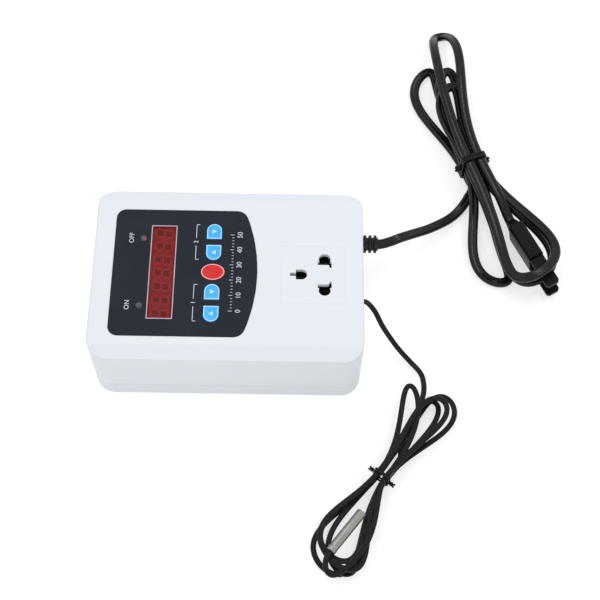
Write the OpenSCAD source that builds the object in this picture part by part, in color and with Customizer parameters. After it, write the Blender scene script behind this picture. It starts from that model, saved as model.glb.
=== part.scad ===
// Plug in temperature controller: a box with a display, five keys and a
// mains outlet, a mains cord with a plug, and a sensor cord with a metal probe.
// X runs along the box and the cords leave through its +X end, Z is up.

/* [Case] */
// Length of the case along X
case_length = 136; // [132:1:160]
// Width of the case along Y
case_width = 95; // [92:1:110]
// Height of the case
case_height = 46; // [45:1:52]
// Corner radius of the case seen from above
corner_radius = 10; // [8:1:12]
// Thickness of the side walls
wall = 2.5; // [2.2:0.1:2.8]
// Thickness of the top
roof = 2.6; // [2.4:0.1:3]
// Height of the base tray
tray_height = 10.5; // [9.5:0.5:12]
// Width of the sloped band along the long sides
bevel_width = 6.5; // [5:0.5:7]
// Drop of the sloped band
bevel_drop = 3.5; // [2.5:0.5:4]

/* [Front panel] */
// Half the width of the front label
label_half_width = 35.5; // [35:0.5:37]
// Thickness of the front label
label_thick = 0.5; // [0.4:0.05:0.6]
// Width of a blue key along X
key_width = 7.7; // [7:0.1:8.2]
// Length of a blue key along Y
key_length = 8.7; // [8:0.1:9.2]
// Length of the red key along X
set_key_width = 11.9; // [11:0.1:12.4]
// Width of the red key along Y
set_key_length = 9.2; // [8.6:0.1:9.6]
// Travel of a key
key_travel = 0.4; // [0.2:0.05:0.5]

/* [Outlet] */
// Side of the square outlet face
outlet_side = 32; // [31:0.5:33]
// Radius of the round hole for a live or neutral pin
pin_hole_radius = 3; // [2.6:0.1:3.2]
// Distance of the live and neutral holes from the middle line
pin_offset = 8.8; // [8.4:0.1:9]

/* [Cords] */
// Width of the flat mains cord
mains_width = 5.4; // [5:0.1:5.6]
// Thickness of the flat mains cord
mains_thick = 3.7; // [3.3:0.1:3.8]
// Width of the flat sensor cord
sensor_width = 2.8; // [2.4:0.1:2.9]
// Thickness of the flat sensor cord
sensor_thick = 1.5; // [1.3:0.1:1.6]
// Radius of the metal probe
probe_radius = 2.5; // [2.2:0.1:2.8]
// Length of the metal probe
probe_length = 25; // [22:1:28]

/* [Hidden] */
$fn = 48;
overrun = 1;            // how far a cutting shape runs past what it cuts
fit_gap = 0.15;         // clearance between parts that slide together
face_gap = 0.2;         // gap seen around the outlet face
panel_y = -1;           // middle line of everything on the front panel
rim_wall = 1.3;         // outer part of the wall left beside the tray's lip
lip_high = 2.5;         // height of the tray's lip
seam_groove = 0.3;      // groove seen between tray and cover
groove_deep = 0.5;
end_round = 1.5;        // rounding of the top edge at the two ends
roof_under = case_height - roof;

boss_inset = 9;         // screw places from the ends and sides of the case
boss_radius = 3.75;
tray_boss_radius = 4.75;
boss_joint = 9;         // where tray boss and cover boss meet
screw_shank_radius = 1.45;
screw_clear_radius = 1.7;
screw_head_radius = 2.8;
screw_head_high = 2.2;
screw_recess_radius = 3.25;
screw_recess_deep = 4;
screw_length = 14;
drive_arm = 3;          // length and width of the slots in a screw head
drive_width = 0.7;
drive_deep = 1.1;

seat_deep = 0.3;        // recess in the top that the label sits in
label_gap = 0.15;
label_inset = 10.3;      // from the end of the case to the label
label_to_outlet = 12;   // from the label to the outlet face
label_bulge_radius = 94;
label_corner_radius = 5;
label_end_radius = 6;
label_curve_share = 0.8; // share of the bulge that stays an arc between the corners
label_curve_steps = 3;
label_corner_steps = 8;
label_under = case_height - seat_deep;
label_top = label_under + label_thick;

outlet_inset = 25.4;     // middle of the outlet from the end of the case
outlet_x = case_length / 2 - outlet_inset;
outlet_y = -1.5;
label_start = label_inset - case_length / 2;
label_end = outlet_x - outlet_side / 2 - label_to_outlet;
label_length = label_end - label_start;

window_share = 0.342;    // places along the label
key_share = 0.693;
window_x = label_start + window_share * label_length;
window_length = 51.6;   // seen part of the window along Y
window_width = 11.9;
window_skirt_length = 52.9;
window_skirt_width = 14.2;
window_skirt_high = 0.8;
window_play = 0.1;      // gap between display modules and window
digit_counts = [2, 3, 2];
digit_pitch = 7.5;
module_width = 14;
module_high = 7.1;
module_gap = 0.1;

lamp_to_window = 10.2;
lamp_x = window_x - lamp_to_window;
lamp_offset = 18.9;
lamp_radius = 1.5;
lamp_flange_radius = 1.85;
lamp_flange_high = 1;
lamp_flange_deep = 4.8; // depth of the flange top below the case top
lead_side = 0.5;
lead_pitch = 2.54;

key_x = label_start + key_share * label_length;
key_places = [23.2, 11.1, -11.1, -23.2];
key_turns = [0, 1, 0, 1];     // 1 where the rounded end points to -Y
key_gap = 0.25;
key_proud = 0.35;
key_flange_wide = 0.7;
key_flange_high = 1;
key_flange_gap = 0.1;
plunger_radius = 1.7;
switch_side = 6;
switch_high = 3.5;
switch_hole_radius = 1.8;
switch_spare = 0.2;     // room left below a pressed plunger
plunger_deep = 0.8;

board_thick = 1.6;
board_start_inset = 5.7; // ends of the control board from the ends of the label
board_end_inset = 11.6;
board_start = label_start + board_start_inset;
board_end = label_end - board_end_inset;
board_half = 33.5;
board_post_radius = 2.5;
board_post_inset = 3;
board_screw_radius = 1.1;
board_screw_head = 2.1;
board_screw_head_high = 1.4;
board_screw_bite = 4;

module_top = label_under - window_skirt_high - window_play;
board_top = module_top - module_high;
board_under = board_top - board_thick;
switch_top = board_top + switch_high;
plunger_low = switch_top - plunger_deep;
key_flange_top = roof_under - key_flange_gap;

outlet_corner = 0.5;
outlet_body_side = 29.2;
outlet_body_low = 26;
outlet_back_thick = 1.5;
hook_wide = 8;
hook_high = 3;
hook_reach = 1.2;
ledge_side = 36;
ledge_high = 1.6;
ledge_gap = 0.2;
pin_line_offset = [5.8, 0.2];  // middle of the pin line from the middle of the outlet
pin_line_x = outlet_x + pin_line_offset.x;
pin_line_y = outlet_y + pin_line_offset.y;
pin_slot_near = 5.5;    // slot beside the round hole, seen from the middle line
pin_slot_far = 7.5;
pin_slot_reach = 3.5;
pin_tail_low = 3.9;
pin_tail_wide = 1;
earth_offsets = [11.5, 8.6, 5.8];  // slot, flat end and round end before the middle
earth_slot_x = outlet_x - earth_offsets[0];
earth_flat_x = outlet_x - earth_offsets[1];
earth_round_x = outlet_x - earth_offsets[2];
earth_radius = 2.85;
earth_slot_wide = 1.8;
chamber_roof = 3;       // face thickness left above the contact chambers
contact_thick = 0.6;
contact_wide = 6;
contact_gap_pin = 5.1;  // free width between the two leaves
contact_gap_earth = 4.6;
contact_low = outlet_body_low;
contact_room = 5;       // free height above the contacts
contact_high = case_height - chamber_roof - contact_room - contact_low;
contact_tab_wide = 6.3;
contact_tab_thick = 0.8;
contact_tab_long = 8;
chamber_play = 0.4;

cord_exit_high = 22;
mains_exit_y = 30;
sensor_exit_y = -4.4;
relief_wall_radius = 4.1;
relief_flange_radius = 5;
relief_flange_thick = 1;
relief_inner_radius = 5.5;
relief_inner_thick = 2;
relief_ribs = [2.4, 5.1, 7.8];
relief_rib_radius = 4.8;
relief_rib_wide = 1.5;
relief_core_radius = 3.5;
relief_long = 9.4;
bush_radius = 2.6;
bush_inner_radius = 3.6;
bush_inner_thick = 1.2;
bush_proud = 0.3;

power_board_insets = [22, 14];  // ends of the board from the two ends of the case
power_board_start = power_board_insets[0] - case_length / 2;
power_board_end = case_length / 2 - power_board_insets[1];
power_board_x = (power_board_start + power_board_end) / 2;
power_board_length = power_board_end - power_board_start;
power_board_width = 60;
power_board_low = 6.5;
power_board_inset = 4;
power_post_radius = 3;
board_screw_sink = 3.5;

// Places on the power board, along and across it
transformer_inset = 20;
transformer_share = 0.15;
transformer_size = [28, 24, 20];
relay_shares = [0.08, 0.23];
relay_size = [19, 15.5, 15.8];
terminal_inset = 13;
terminal_share = 0.35;
terminal_size = [9, 15.2, 10];
core_share = 0.8;
winding_share = 0.6;
terminal_ways = 3;
wire_hole_radius = 1.6;
wire_hole_share = 0.35;
capacitor_shares = [[-0.3, -0.28], [-0.15, -0.28]];
capacitor_radius = 5;
capacitor_high = 16;
varistor_shares = [0.08, -0.02];
varistor_radius = 5;
varistor_thick = 4;
fuse_shares = [0.06, -0.23];
fuse_radius = 2.6;
fuse_length = 20;
connector_size = [4.5, 12, 6];
connector_inset = 11;
connector_share = -0.37;
ribbon_wide = 17.8;
ribbon_thick = 1;
ribbon_inset = 2;
ribbon_share = -0.1;

power_board_top = power_board_low + board_thick;
function on_board(shares) = [power_board_x + shares[0] * power_board_length,
  shares[1] * power_board_width];
transformer_place = [power_board_start + transformer_inset,
  transformer_share * power_board_width];
relay_place = on_board(relay_shares);
terminal_place = [power_board_end - terminal_inset, terminal_share * power_board_width];
varistor_place = on_board(varistor_shares);
fuse_place = on_board(fuse_shares);
connector_place = [power_board_end - connector_inset, connector_share * power_board_width];
ribbon_x = power_board_start + ribbon_inset;
ribbon_y = ribbon_share * power_board_width;

// Routes are points seen from above, measured from the place where the cord leaves
// the case, with the share of the exit height that is left at each point.
floor_gap = 0.1;
cord_inside = 10;       // length of cord kept inside the wall
mains_route = [[10, 0], [16, 1.8], [22, 5], [29, 9.6], [39, 16.8], [50.5, 26.4], [57.6, 34.4],
  [62.6, 42.6]];
mains_route_shares = [1, 0.995, 0.94, 0.75, 0.43, 0.13, 0.03, 0.01];
sensor_route = [[3, 0], [7.3, -4.2], [11.8, -11], [19.1, -18.3], [25.5, -23.8], [31.6, -29.8],
  [33.4, -35.2], [33.1, -42.2], [30, -51], [25.5, -62], [20.8, -73]];
sensor_route_shares = [1, 0.905, 0.69, 0.34, 0.125, 0.02, 0, 0, 0, 0.01, 0.02];
route_steps = 3;

// Hanks: the place of the waist from the cord exit, the turn of the long axis from Y,
// and for each loop its reach, shift, spread, skew, height at the far end and how
// late it leaves the height of the waist.
mains_hub = [64.4, 59.2];
mains_turn = 20;
mains_loops_up = [[72, 3, 14, -6, 0, 2], [66, 12, 9, 0, 1.05, 2], [52, 8, 10, -2, 2.2, 2],
  [94, 19, 13, 3, 0, 7]];
mains_loops_down = [[71, -10, 16, -7, 0, 2], [78.3, 3, 29.6, 4.7, 1.53, 4.5],
  [81.4, -3, 33, 6.8, 5.07, 4]];
mains_lane_gap = 1;
mains_layer_gap = 0.55;
mains_tie_lift = 1.3;
mains_run = 6;          // straight piece before the first waist crossing
sensor_hub = [10.2, -88.6];
sensor_turn = -38.3;
sensor_loops_down = [[53, 6, 26, 0, 0, 2], [50, 12, 20, 0, 1.1, 2], [47, 5, 24, 0, 2.2, 2],
  [49, 9, 30, 0, 3.2, 2]];
sensor_loops_up = [[50, -3, 10, 0, 1, 2], [55, 1, 17, 2, 2, 2], [48, -17, 9, 0, 3.1, 2],
  [51, 0, 14, 0, 4, 2]];
sensor_last_loop = [22, 12, 4, 2, 4.5, 2];
sensor_lane_gap = 1.6;
sensor_layer_gap = 0.5;
sensor_tie_lift = 1;
sensor_run = 8;
loop_steps = 20;
cord_sides = [-67.5, -22.5, 22.5, 67.5];

plug_place = [-41, 5.15];
plug_turn = 6.3;
plug_lean = 13.5;       // tilt from its edge, with the last loop over the covered blades
plug_middle = 10.1;
plug_neck_long = 6;
plug_body_long = 22;
plug_body_thick = 8.5;
plug_body_high = 19;
plug_body_round = 2;
plug_neck_round = 1.8;
blade_pitch = 12.7;
blade_wide = 6.35;
blade_thick = 1.5;
blade_long = 17;
cover_wide = 7.6;
cover_thick = 2.7;
cover_end = 1;
cover_chamfer = 1.2;
plug_leg_steps = 10;
probe_place = [-46.7, 4.1];
probe_middle = 10.7;
probe_round = 0.6;
tie_wide = 2.4;
tie_thick = 1.1;
tie_play = 0.1;
knot_radius = 1.3;
knot_long = 3;
sensor_tie_thick = 0.8;
sensor_knot_radius = 0.8;

mains_exit = [case_length / 2, mains_exit_y, cord_exit_high];
sensor_exit = [case_length / 2, sensor_exit_y, cord_exit_high];
mains_floor = mains_thick / 2 + floor_gap;
sensor_floor = sensor_thick / 2 + floor_gap;
mains_layer = mains_thick + mains_layer_gap;
sensor_layer = sensor_thick + sensor_layer_gap;
mains_lane = (mains_width + mains_lane_gap) / 2;
sensor_lane = (sensor_width + sensor_lane_gap) / 2;

function unit2(v) = v / norm(v);

// Points of a closed outline whose corners are rounded by the radii beside them
function rounded_outline(corners, radii, steps) = [
  for (i = [0:len(corners) - 1])
    let (n = len(corners), p = corners[i],
         a = unit2(corners[(i + n - 1) % n] - p), b = unit2(corners[(i + 1) % n] - p),
         half = acos(a * b) / 2, reach = radii[i] / tan(half),
         centre = p + unit2(a + b) * radii[i] / sin(half),
         from = p + a * reach - centre, to = p + b * reach - centre,
         start = atan2(from.y, from.x),
         turn = (atan2(to.y, to.x) - start + 540) % 360 - 180)
    each radii[i] == 0 ? [p] : [for (k = [0:steps])
      centre + radii[i] * [cos(start + turn * k / steps), sin(start + turn * k / steps)]]
];

// Outline of the front label, grown by the gap given
function label_outline(grow) =
  let (half = label_half_width + grow, end = label_end + grow,
       lean = asin(half / label_bulge_radius), middle = end - label_bulge_radius,
       corner = middle + label_bulge_radius * cos(lean),
       curve = [for (k = [-label_curve_steps:label_curve_steps])
         let (a = lean * label_curve_share * k / label_curve_steps)
         [middle + label_bulge_radius * cos(a), label_bulge_radius * sin(a)]])
  rounded_outline(
    concat([[label_start - grow, -half], [corner, -half]], curve,
           [[corner, half], [label_start - grow, half]]),
    concat([label_corner_radius, label_end_radius], [for (p = curve) 0],
           [label_end_radius, label_corner_radius]), label_corner_steps);

module rounded_shape(size, radius) {
  square([size.x - 2 * radius, size.y], center = true);
  square([size.x, size.y - 2 * radius], center = true);
  for (sx = [-1, 1], sy = [-1, 1])
    translate([sx * (size.x / 2 - radius), sy * (size.y / 2 - radius)]) circle(radius);
}

module rounded_plate(size, radius, low, high) {
  translate([0, 0, low]) linear_extrude(high - low) rounded_shape(size, radius);
}

// Outline of a flat cord, widest along Y, thickest along X
module cord_shape(width, thick) {
  square([thick, width - thick], center = true);
  for (side = [-1, 1]) translate([0, side * (width - thick) / 2]) circle(thick / 2);
}

module tube(outer, inner, low, high) {
  translate([0, 0, low]) difference() {
    cylinder(high - low, outer, outer);
    translate([0, 0, -overrun]) cylinder(high - low + 2 * overrun, inner, inner);
  }
}

// Solid of the case between two heights, drawn in at the sides and the top
module case_block(low, side_in, top_in) {
  slope = bevel_drop / bevel_width;
  lower = side_in * norm([bevel_width, bevel_drop]) / bevel_width;
  top = case_height - top_in;
  half = case_width / 2 - side_in;
  side_top = case_height - lower - slope * (bevel_width - side_in);
  band_top = case_width / 2 - bevel_width + (top_in - lower) / slope;
  intersection() {
    rounded_plate([case_length - 2 * side_in, case_width - 2 * side_in],
                  corner_radius - side_in, low, top);
    rotate([90, 0, 90]) linear_extrude(case_length, center = true)
      polygon([[-half, low], [half, low], [half, side_top], [band_top, top],
               [-band_top, top], [-half, side_top]]);
  }
}

module end_rounding() {
  rotate([90, 0, 0]) linear_extrude(case_width, center = true) {
    translate([-case_length / 2, 0]) square([case_length, case_height - end_round]);
    translate([-case_length / 2 + end_round, 0])
      square([case_length - 2 * end_round, case_height]);
    for (side = [-1, 1])
      translate([side * (case_length / 2 - end_round), case_height - end_round])
        circle(end_round);
  }
}

module at_bosses() {
  for (sx = [-1, 1], sy = [-1, 1])
    translate([sx * (case_length / 2 - boss_inset), sy * (case_width / 2 - boss_inset)])
      children();
}

module at_board_posts() {
  for (x = [board_start + board_post_inset, board_end - board_post_inset], sy = [-1, 1])
    translate([x, panel_y + sy * (board_half - board_post_inset)]) children();
}

module at_power_posts() {
  for (sx = [-1, 1], sy = [-1, 1])
    translate([power_board_x + sx * (power_board_length / 2 - power_board_inset),
               sy * (power_board_width / 2 - power_board_inset)]) children();
}

// Shape of a blue key seen from above, the rounded end at +Y
module key_shape(grow) {
  radius = key_width / 2 + grow;
  translate([0, key_length / 2 - key_width / 2]) circle(radius);
  translate([-radius, -key_length / 2 - grow])
    square([2 * radius, key_length - key_width / 2 + grow]);
}

module set_key_shape(grow) {
  polygon([for (k = [0:59])
    [(set_key_width / 2 + grow) * cos(6 * k), (set_key_length / 2 + grow) * sin(6 * k)]]);
}

module at_key(index) {
  translate([key_x, panel_y + key_places[index]])
    rotate([0, 0, 180 * key_turns[index]]) children();
}

module key_holes(grow) {
  for (i = [0:len(key_places) - 1]) at_key(i) key_shape(grow);
  translate([key_x, panel_y]) set_key_shape(grow);
}

// Holes of the outlet face, seen from above
module outlet_holes() {
  translate([pin_line_x, pin_line_y]) for (side = [0, 1]) mirror([0, side]) {
    translate([0, pin_offset]) circle(pin_hole_radius);
    translate([-pin_slot_reach, pin_slot_near])
      square([2 * pin_slot_reach, pin_slot_far - pin_slot_near]);
    polygon([[pin_slot_reach - pin_tail_wide, pin_tail_low], [pin_slot_reach, pin_tail_low],
             [pin_slot_reach, pin_slot_far], [pin_slot_near - pin_tail_low, pin_slot_far]]);
  }
  translate([earth_flat_x, pin_line_y - earth_radius])
    square([earth_round_x - earth_flat_x, 2 * earth_radius]);
  translate([earth_round_x, pin_line_y]) circle(earth_radius);
  translate([earth_slot_x, pin_line_y - earth_slot_wide / 2])
    square([earth_round_x - earth_slot_x, earth_slot_wide]);
}

// Ring of the case plan between two distances from its outer face
module plan_ring(outside, inside, low, high) {
  difference() {
    rounded_plate([case_length - 2 * outside, case_width - 2 * outside],
      corner_radius - outside, low, high);
    rounded_plate([case_length - 2 * inside, case_width - 2 * inside],
      corner_radius - inside, low - overrun, high + overrun);
  }
}

module cord_holes(relief_radius, grommet_radius) {
  translate([case_length / 2 - 2 * wall, mains_exit_y, cord_exit_high]) rotate([0, 90, 0])
    cylinder(4 * wall, relief_radius, relief_radius);
  translate([case_length / 2 - 2 * wall, sensor_exit_y, cord_exit_high]) rotate([0, 90, 0])
    cylinder(4 * wall, grommet_radius, grommet_radius);
}

module top_cover() {
  color("#DEE3EC") difference() {
    union() {
      difference() {
        intersection() {
          case_block(tray_height, 0, 0);
          end_rounding();
        }
        case_block(tray_height - overrun, wall, roof);
        plan_ring(rim_wall, wall + overrun, tray_height - overrun,
          tray_height + lip_high + fit_gap);
        plan_ring(-overrun, groove_deep, tray_height - overrun, tray_height + seam_groove);
      }
      translate([0, 0, boss_joint]) at_bosses()
        cylinder(roof_under - boss_joint, boss_radius, boss_radius);
      translate([0, 0, board_top]) at_board_posts()
        cylinder(roof_under - board_top, board_post_radius, board_post_radius);
      translate([outlet_x, outlet_y]) rounded_plate([ledge_side, ledge_side], outlet_corner,
        roof_under - ledge_high, roof_under);
    }
    translate([0, 0, boss_joint - overrun]) at_bosses()
      cylinder(screw_recess_deep + screw_length - boss_joint + 2 * overrun,
        screw_shank_radius, screw_shank_radius);
    translate([0, 0, board_top - overrun]) at_board_posts()
      cylinder(board_screw_bite + fit_gap + overrun, board_screw_radius, board_screw_radius);
    translate([0, panel_y, label_under]) linear_extrude(overrun)
      polygon(label_outline(label_gap));
    translate([0, 0, roof_under - overrun]) linear_extrude(roof + 2 * overrun) {
      translate([window_x, panel_y])
        square([window_skirt_width + fit_gap, window_skirt_length + 4 * fit_gap], center = true);
      for (side = [-1, 1]) translate([lamp_x, panel_y + side * lamp_offset])
        circle(lamp_radius + fit_gap);
      key_holes(key_gap);
    }
    translate([outlet_x, outlet_y]) rounded_plate(
      [outlet_side + 2 * face_gap, outlet_side + 2 * face_gap], outlet_corner + face_gap,
      roof_under, case_height + overrun);
    translate([outlet_x, outlet_y]) rounded_plate(
      [outlet_body_side + 2 * ledge_gap, outlet_body_side + 2 * ledge_gap],
      outlet_corner + ledge_gap, roof_under - 2 * ledge_high, roof_under + overrun);
    cord_holes(relief_wall_radius, bush_radius);
  }
}

module base_tray() {
  color("#D6DBE4") difference() {
    union() {
      difference() {
        rounded_plate([case_length, case_width], corner_radius, 0, tray_height);
        rounded_plate([case_length - 2 * wall, case_width - 2 * wall],
          corner_radius - wall, wall, tray_height + overrun);
      }
      plan_ring(rim_wall + fit_gap, wall, tray_height - overrun, tray_height + lip_high);
      at_bosses() cylinder(boss_joint, tray_boss_radius, tray_boss_radius);
      at_power_posts() cylinder(power_board_low, power_post_radius, power_post_radius);
    }
    translate([0, 0, -overrun]) at_bosses() {
      cylinder(screw_recess_deep + overrun, screw_recess_radius, screw_recess_radius);
      cylinder(boss_joint + 2 * overrun, screw_clear_radius, screw_clear_radius);
    }
    translate([0, 0, power_board_low - board_screw_sink]) at_power_posts()
      cylinder(board_screw_sink + overrun, board_screw_radius, board_screw_radius);
  }
}

// Screw pointing up from the underside of its head, with a crossed slot
module screw_up(head_radius, head_high, shank_radius, shank_long) {
  difference() {
    translate([0, 0, -head_high]) cylinder(head_high, head_radius, head_radius);
    translate([0, 0, -head_high]) for (a = [0, 90]) rotate([0, 0, a])
      cube([drive_arm, drive_width, 2 * drive_deep], center = true);
  }
  cylinder(shank_long, shank_radius, shank_radius);
}

module cover_screws() {
  color("#9A9DA3") translate([0, 0, screw_recess_deep]) at_bosses()
    screw_up(screw_head_radius, screw_head_high, screw_shank_radius, screw_length);
}

module front_label() {
  color("#2F3239") translate([0, panel_y, label_under]) linear_extrude(label_thick)
    difference() {
      polygon(label_outline(0));
      translate([window_x, 0])
        square([window_width + fit_gap, window_length + fit_gap], center = true);
      translate([0, -panel_y]) {
        for (side = [-1, 1]) translate([lamp_x, panel_y + side * lamp_offset])
          circle(lamp_radius + fit_gap);
        key_holes(key_gap);
      }
    }
}

module display_window() {
  color("#96282D") translate([window_x, panel_y, label_under]) {
    translate([0, 0, -window_skirt_high / 2])
      cube([window_skirt_width, window_skirt_length, window_skirt_high], center = true);
    translate([0, 0, label_thick / 2])
      cube([window_width, window_length, label_thick], center = true);
  }
}

// Display module with the given place in the row of three
module display_module(index) {
  before = digit_pitch * (index == 0 ? 0 : index == 1 ? digit_counts[0]
    : digit_counts[0] + digit_counts[1]) + index * module_gap;
  row = digit_pitch * (digit_counts[0] + digit_counts[1] + digit_counts[2]) + 2 * module_gap;
  color("#3A1F22") translate([window_x - module_width / 2, panel_y - row / 2 + before, board_top])
    cube([module_width, digit_pitch * digit_counts[index], module_high]);
}

module display_left() { display_module(0); }

module display_middle() { display_module(1); }

module display_right() { display_module(2); }

module control_board() {
  color("#1F6B3A") difference() {
    translate([board_start, panel_y - board_half, board_under])
      cube([board_end - board_start, 2 * board_half, board_thick]);
    translate([0, 0, board_under - overrun]) at_board_posts()
      cylinder(board_thick + 2 * overrun, board_screw_radius, board_screw_radius);
  }
}

module board_screws() {
  color("#9A9DA3") translate([0, 0, board_under]) at_board_posts()
    screw_up(board_screw_head, board_screw_head_high, board_screw_radius,
      board_thick + board_screw_bite);
}

module lamp(side) {
  translate([lamp_x, panel_y + side * lamp_offset]) {
    flange_top = case_height - lamp_flange_deep;
    dome = label_top - lamp_radius;
    translate([0, 0, flange_top - lamp_flange_high])
      cylinder(lamp_flange_high, lamp_flange_radius, lamp_flange_radius);
    translate([0, 0, flange_top]) cylinder(dome - flange_top, lamp_radius, lamp_radius);
    translate([0, 0, dome]) sphere(lamp_radius);
    for (s = [-1, 1]) translate([-lead_side / 2, s * lead_pitch / 2 - lead_side / 2, board_top])
      cube([lead_side, lead_side, flange_top - lamp_flange_high - board_top]);
  }
}

module lamp_start() { color("#A88C93") lamp(1); }

module lamp_stop() { color("#8E8A96") lamp(-1); }

// Stack of a key: seen cap, retaining flange and the plunger below it
module key_stack() {
  translate([0, 0, key_flange_top - key_flange_high])
    linear_extrude(label_top + key_proud - key_flange_top + key_flange_high) children(0);
  translate([0, 0, key_flange_top - key_flange_high])
    linear_extrude(key_flange_high) children(1);
  translate([0, 0, plunger_low])
    cylinder(key_flange_top - key_flange_high - plunger_low, plunger_radius, plunger_radius);
}

module blue_key(index) {
  color("#45B5F5") at_key(index) key_stack() {
    key_shape(0);
    key_shape(key_flange_wide);
  }
}

module key_start_up() { blue_key(0); }

module key_start_down() { blue_key(1); }

module key_stop_up() { blue_key(2); }

module key_stop_down() { blue_key(3); }

module key_set() {
  color("#E23A34") translate([key_x, panel_y]) key_stack() {
    set_key_shape(0);
    set_key_shape(key_flange_wide);
  }
}

module key_switches() {
  color("#2B2B2E") for (y = concat(key_places, [0]))
    translate([key_x, panel_y + y, board_top]) difference() {
      translate([0, 0, switch_high / 2])
        cube([switch_side, switch_side, switch_high], center = true);
      translate([0, 0, switch_high - plunger_deep - key_travel - switch_spare])
        cylinder(switch_high, switch_hole_radius, switch_hole_radius);
    }
}

// Place of a contact seen from above: side 1 and -1 for the two mains pins, 0 for earth
module at_contact(side) {
  x = side == 0 ? (earth_flat_x + earth_round_x + earth_radius) / 2 : pin_line_x;
  translate([x, pin_line_y + side * (pin_slot_near + contact_gap_pin / 2)]) children();
}

function contact_gap(side) = side == 0 ? contact_gap_earth : contact_gap_pin;

// Square part of the outlet with the chambers that hold its contacts
module outlet_body() {
  color("#E6EAF2") difference() {
    translate([outlet_x, outlet_y]) {
      rounded_plate([outlet_side, outlet_side], outlet_corner, roof_under, case_height);
      rounded_plate([outlet_body_side, outlet_body_side], outlet_corner, outlet_body_low,
        roof_under);
      for (side = [0, 1]) mirror([0, side]) translate([-hook_wide / 2, outlet_body_side / 2,
          roof_under - ledge_high - fit_gap])
        rotate([90, 0, 90]) linear_extrude(hook_wide)
          polygon([[-overrun, 0], [hook_reach, 0], [0, -hook_high], [-overrun, -hook_high]]);
    }
    for (side = [-1, 0, 1]) at_contact(side)
      translate([-contact_wide / 2 - chamber_play,
          -contact_gap(side) / 2 - contact_thick - chamber_play, outlet_body_low - overrun])
        cube([contact_wide + 2 * chamber_play,
          contact_gap(side) + 2 * contact_thick + 2 * chamber_play,
          case_height - chamber_roof - outlet_body_low + overrun]);
    translate([0, 0, case_height - chamber_roof - overrun])
      linear_extrude(chamber_roof + 2 * overrun) outlet_holes();
  }
}

module outlet_back() {
  color("#E6EAF2") difference() {
    translate([outlet_x, outlet_y]) rounded_plate([outlet_body_side, outlet_body_side],
      outlet_corner, outlet_body_low - outlet_back_thick, outlet_body_low);
    for (side = [-1, 0, 1]) at_contact(side) translate([0, 0, outlet_body_low])
      cube([contact_tab_wide, contact_tab_thick, 4 * outlet_back_thick], center = true);
  }
}

// Two spring leaves on a base with a tab that passes through the back plate
module contact(side) {
  gap = contact_gap(side);
  color("#C9A14A") at_contact(side) translate([0, 0, contact_low]) {
    for (s = [-1, 1]) translate([-contact_wide / 2, s * (gap + contact_thick) / 2
        - contact_thick / 2, 0])
      cube([contact_wide, contact_thick, contact_high]);
    translate([-contact_wide / 2, -gap / 2 - contact_thick, 0])
      cube([contact_wide, gap + 2 * contact_thick, contact_thick]);
    translate([-contact_tab_wide / 2, -contact_tab_thick / 2, -contact_tab_long])
      cube([contact_tab_wide, contact_tab_thick, contact_tab_long + contact_thick]);
  }
}

module contact_live() { contact(1); }

module contact_neutral() { contact(-1); }

module contact_earth() { contact(0); }

module power_board() {
  color("#B98A3C") difference() {
    translate([power_board_x - power_board_length / 2, -power_board_width / 2, power_board_low])
      cube([power_board_length, power_board_width, board_thick]);
    translate([0, 0, power_board_low - overrun]) at_power_posts()
      cylinder(board_thick + 2 * overrun, board_screw_radius, board_screw_radius);
  }
}

module power_board_screws() {
  color("#9A9DA3") translate([0, 0, power_board_top]) at_power_posts() rotate([180, 0, 0])
    screw_up(board_screw_head, board_screw_head_high, board_screw_radius,
      board_thick + board_screw_sink);
}

// Box standing on the power board at the given place
module board_box(place, size) {
  translate([place.x - size.x / 2, place.y - size.y / 2, power_board_top]) cube(size);
}

module transformer() {
  core = transformer_size.z * core_share;
  color("#3C3F44") board_box(transformer_place, [transformer_size.x, transformer_size.y, core]);
  color("#C9B23C") board_box(transformer_place,
    [transformer_size.x * winding_share, transformer_size.y * winding_share, transformer_size.z]);
}

module relay() { color("#2C4E8F") board_box(relay_place, relay_size); }

module capacitors() {
  color("#262A3A") for (s = capacitor_shares) translate([on_board(s).x, on_board(s).y, power_board_top])
    cylinder(capacitor_high, capacitor_radius, capacitor_radius);
}

module varistor() {
  color("#2F5FA8") translate([varistor_place.x, varistor_place.y,
      power_board_top + varistor_radius + lead_pitch / 2]) {
    rotate([90, 0, 0]) cylinder(varistor_thick, varistor_radius, varistor_radius, center = true);
    for (s = [-1, 1]) translate([s * lead_pitch - lead_side / 2, -lead_side / 2,
        -varistor_radius - lead_pitch / 2])
      cube([lead_side, lead_side, varistor_radius]);
  }
}

module fuse() {
  middle = power_board_top + fuse_radius + lead_side;
  translate([fuse_place.x, fuse_place.y, middle]) {
    color("#DDE3E6") rotate([0, 90, 0])
      cylinder(fuse_length, fuse_radius, fuse_radius, center = true);
    color("#A9ACB1") for (s = [-1, 1]) translate([s * (fuse_length / 2 - fuse_radius)
        - fuse_radius / 2, -fuse_radius, power_board_top - middle])
      cube([fuse_radius, 2 * fuse_radius, fuse_radius + lead_side]);
  }
}

// Block of screw terminals whose wire holes face the cord
module terminal_block() {
  step = terminal_size.y / terminal_ways;
  color("#2E7D4F") difference() {
    board_box(terminal_place, terminal_size);
    for (i = [0:terminal_ways - 1]) translate([terminal_place.x,
        terminal_place.y + (i + 0.5) * step - terminal_size.y / 2, power_board_top]) {
      translate([terminal_size.x / 2, 0, terminal_size.z * wire_hole_share]) rotate([0, 90, 0])
        cylinder(terminal_size.x, wire_hole_radius, wire_hole_radius, center = true);
      translate([0, 0, terminal_size.z - wire_hole_radius])
        cylinder(terminal_size.z, wire_hole_radius, wire_hole_radius);
    }
  }
}

module sensor_connector() {
  color("#E9E6DA") board_box(connector_place, connector_size);
}

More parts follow.
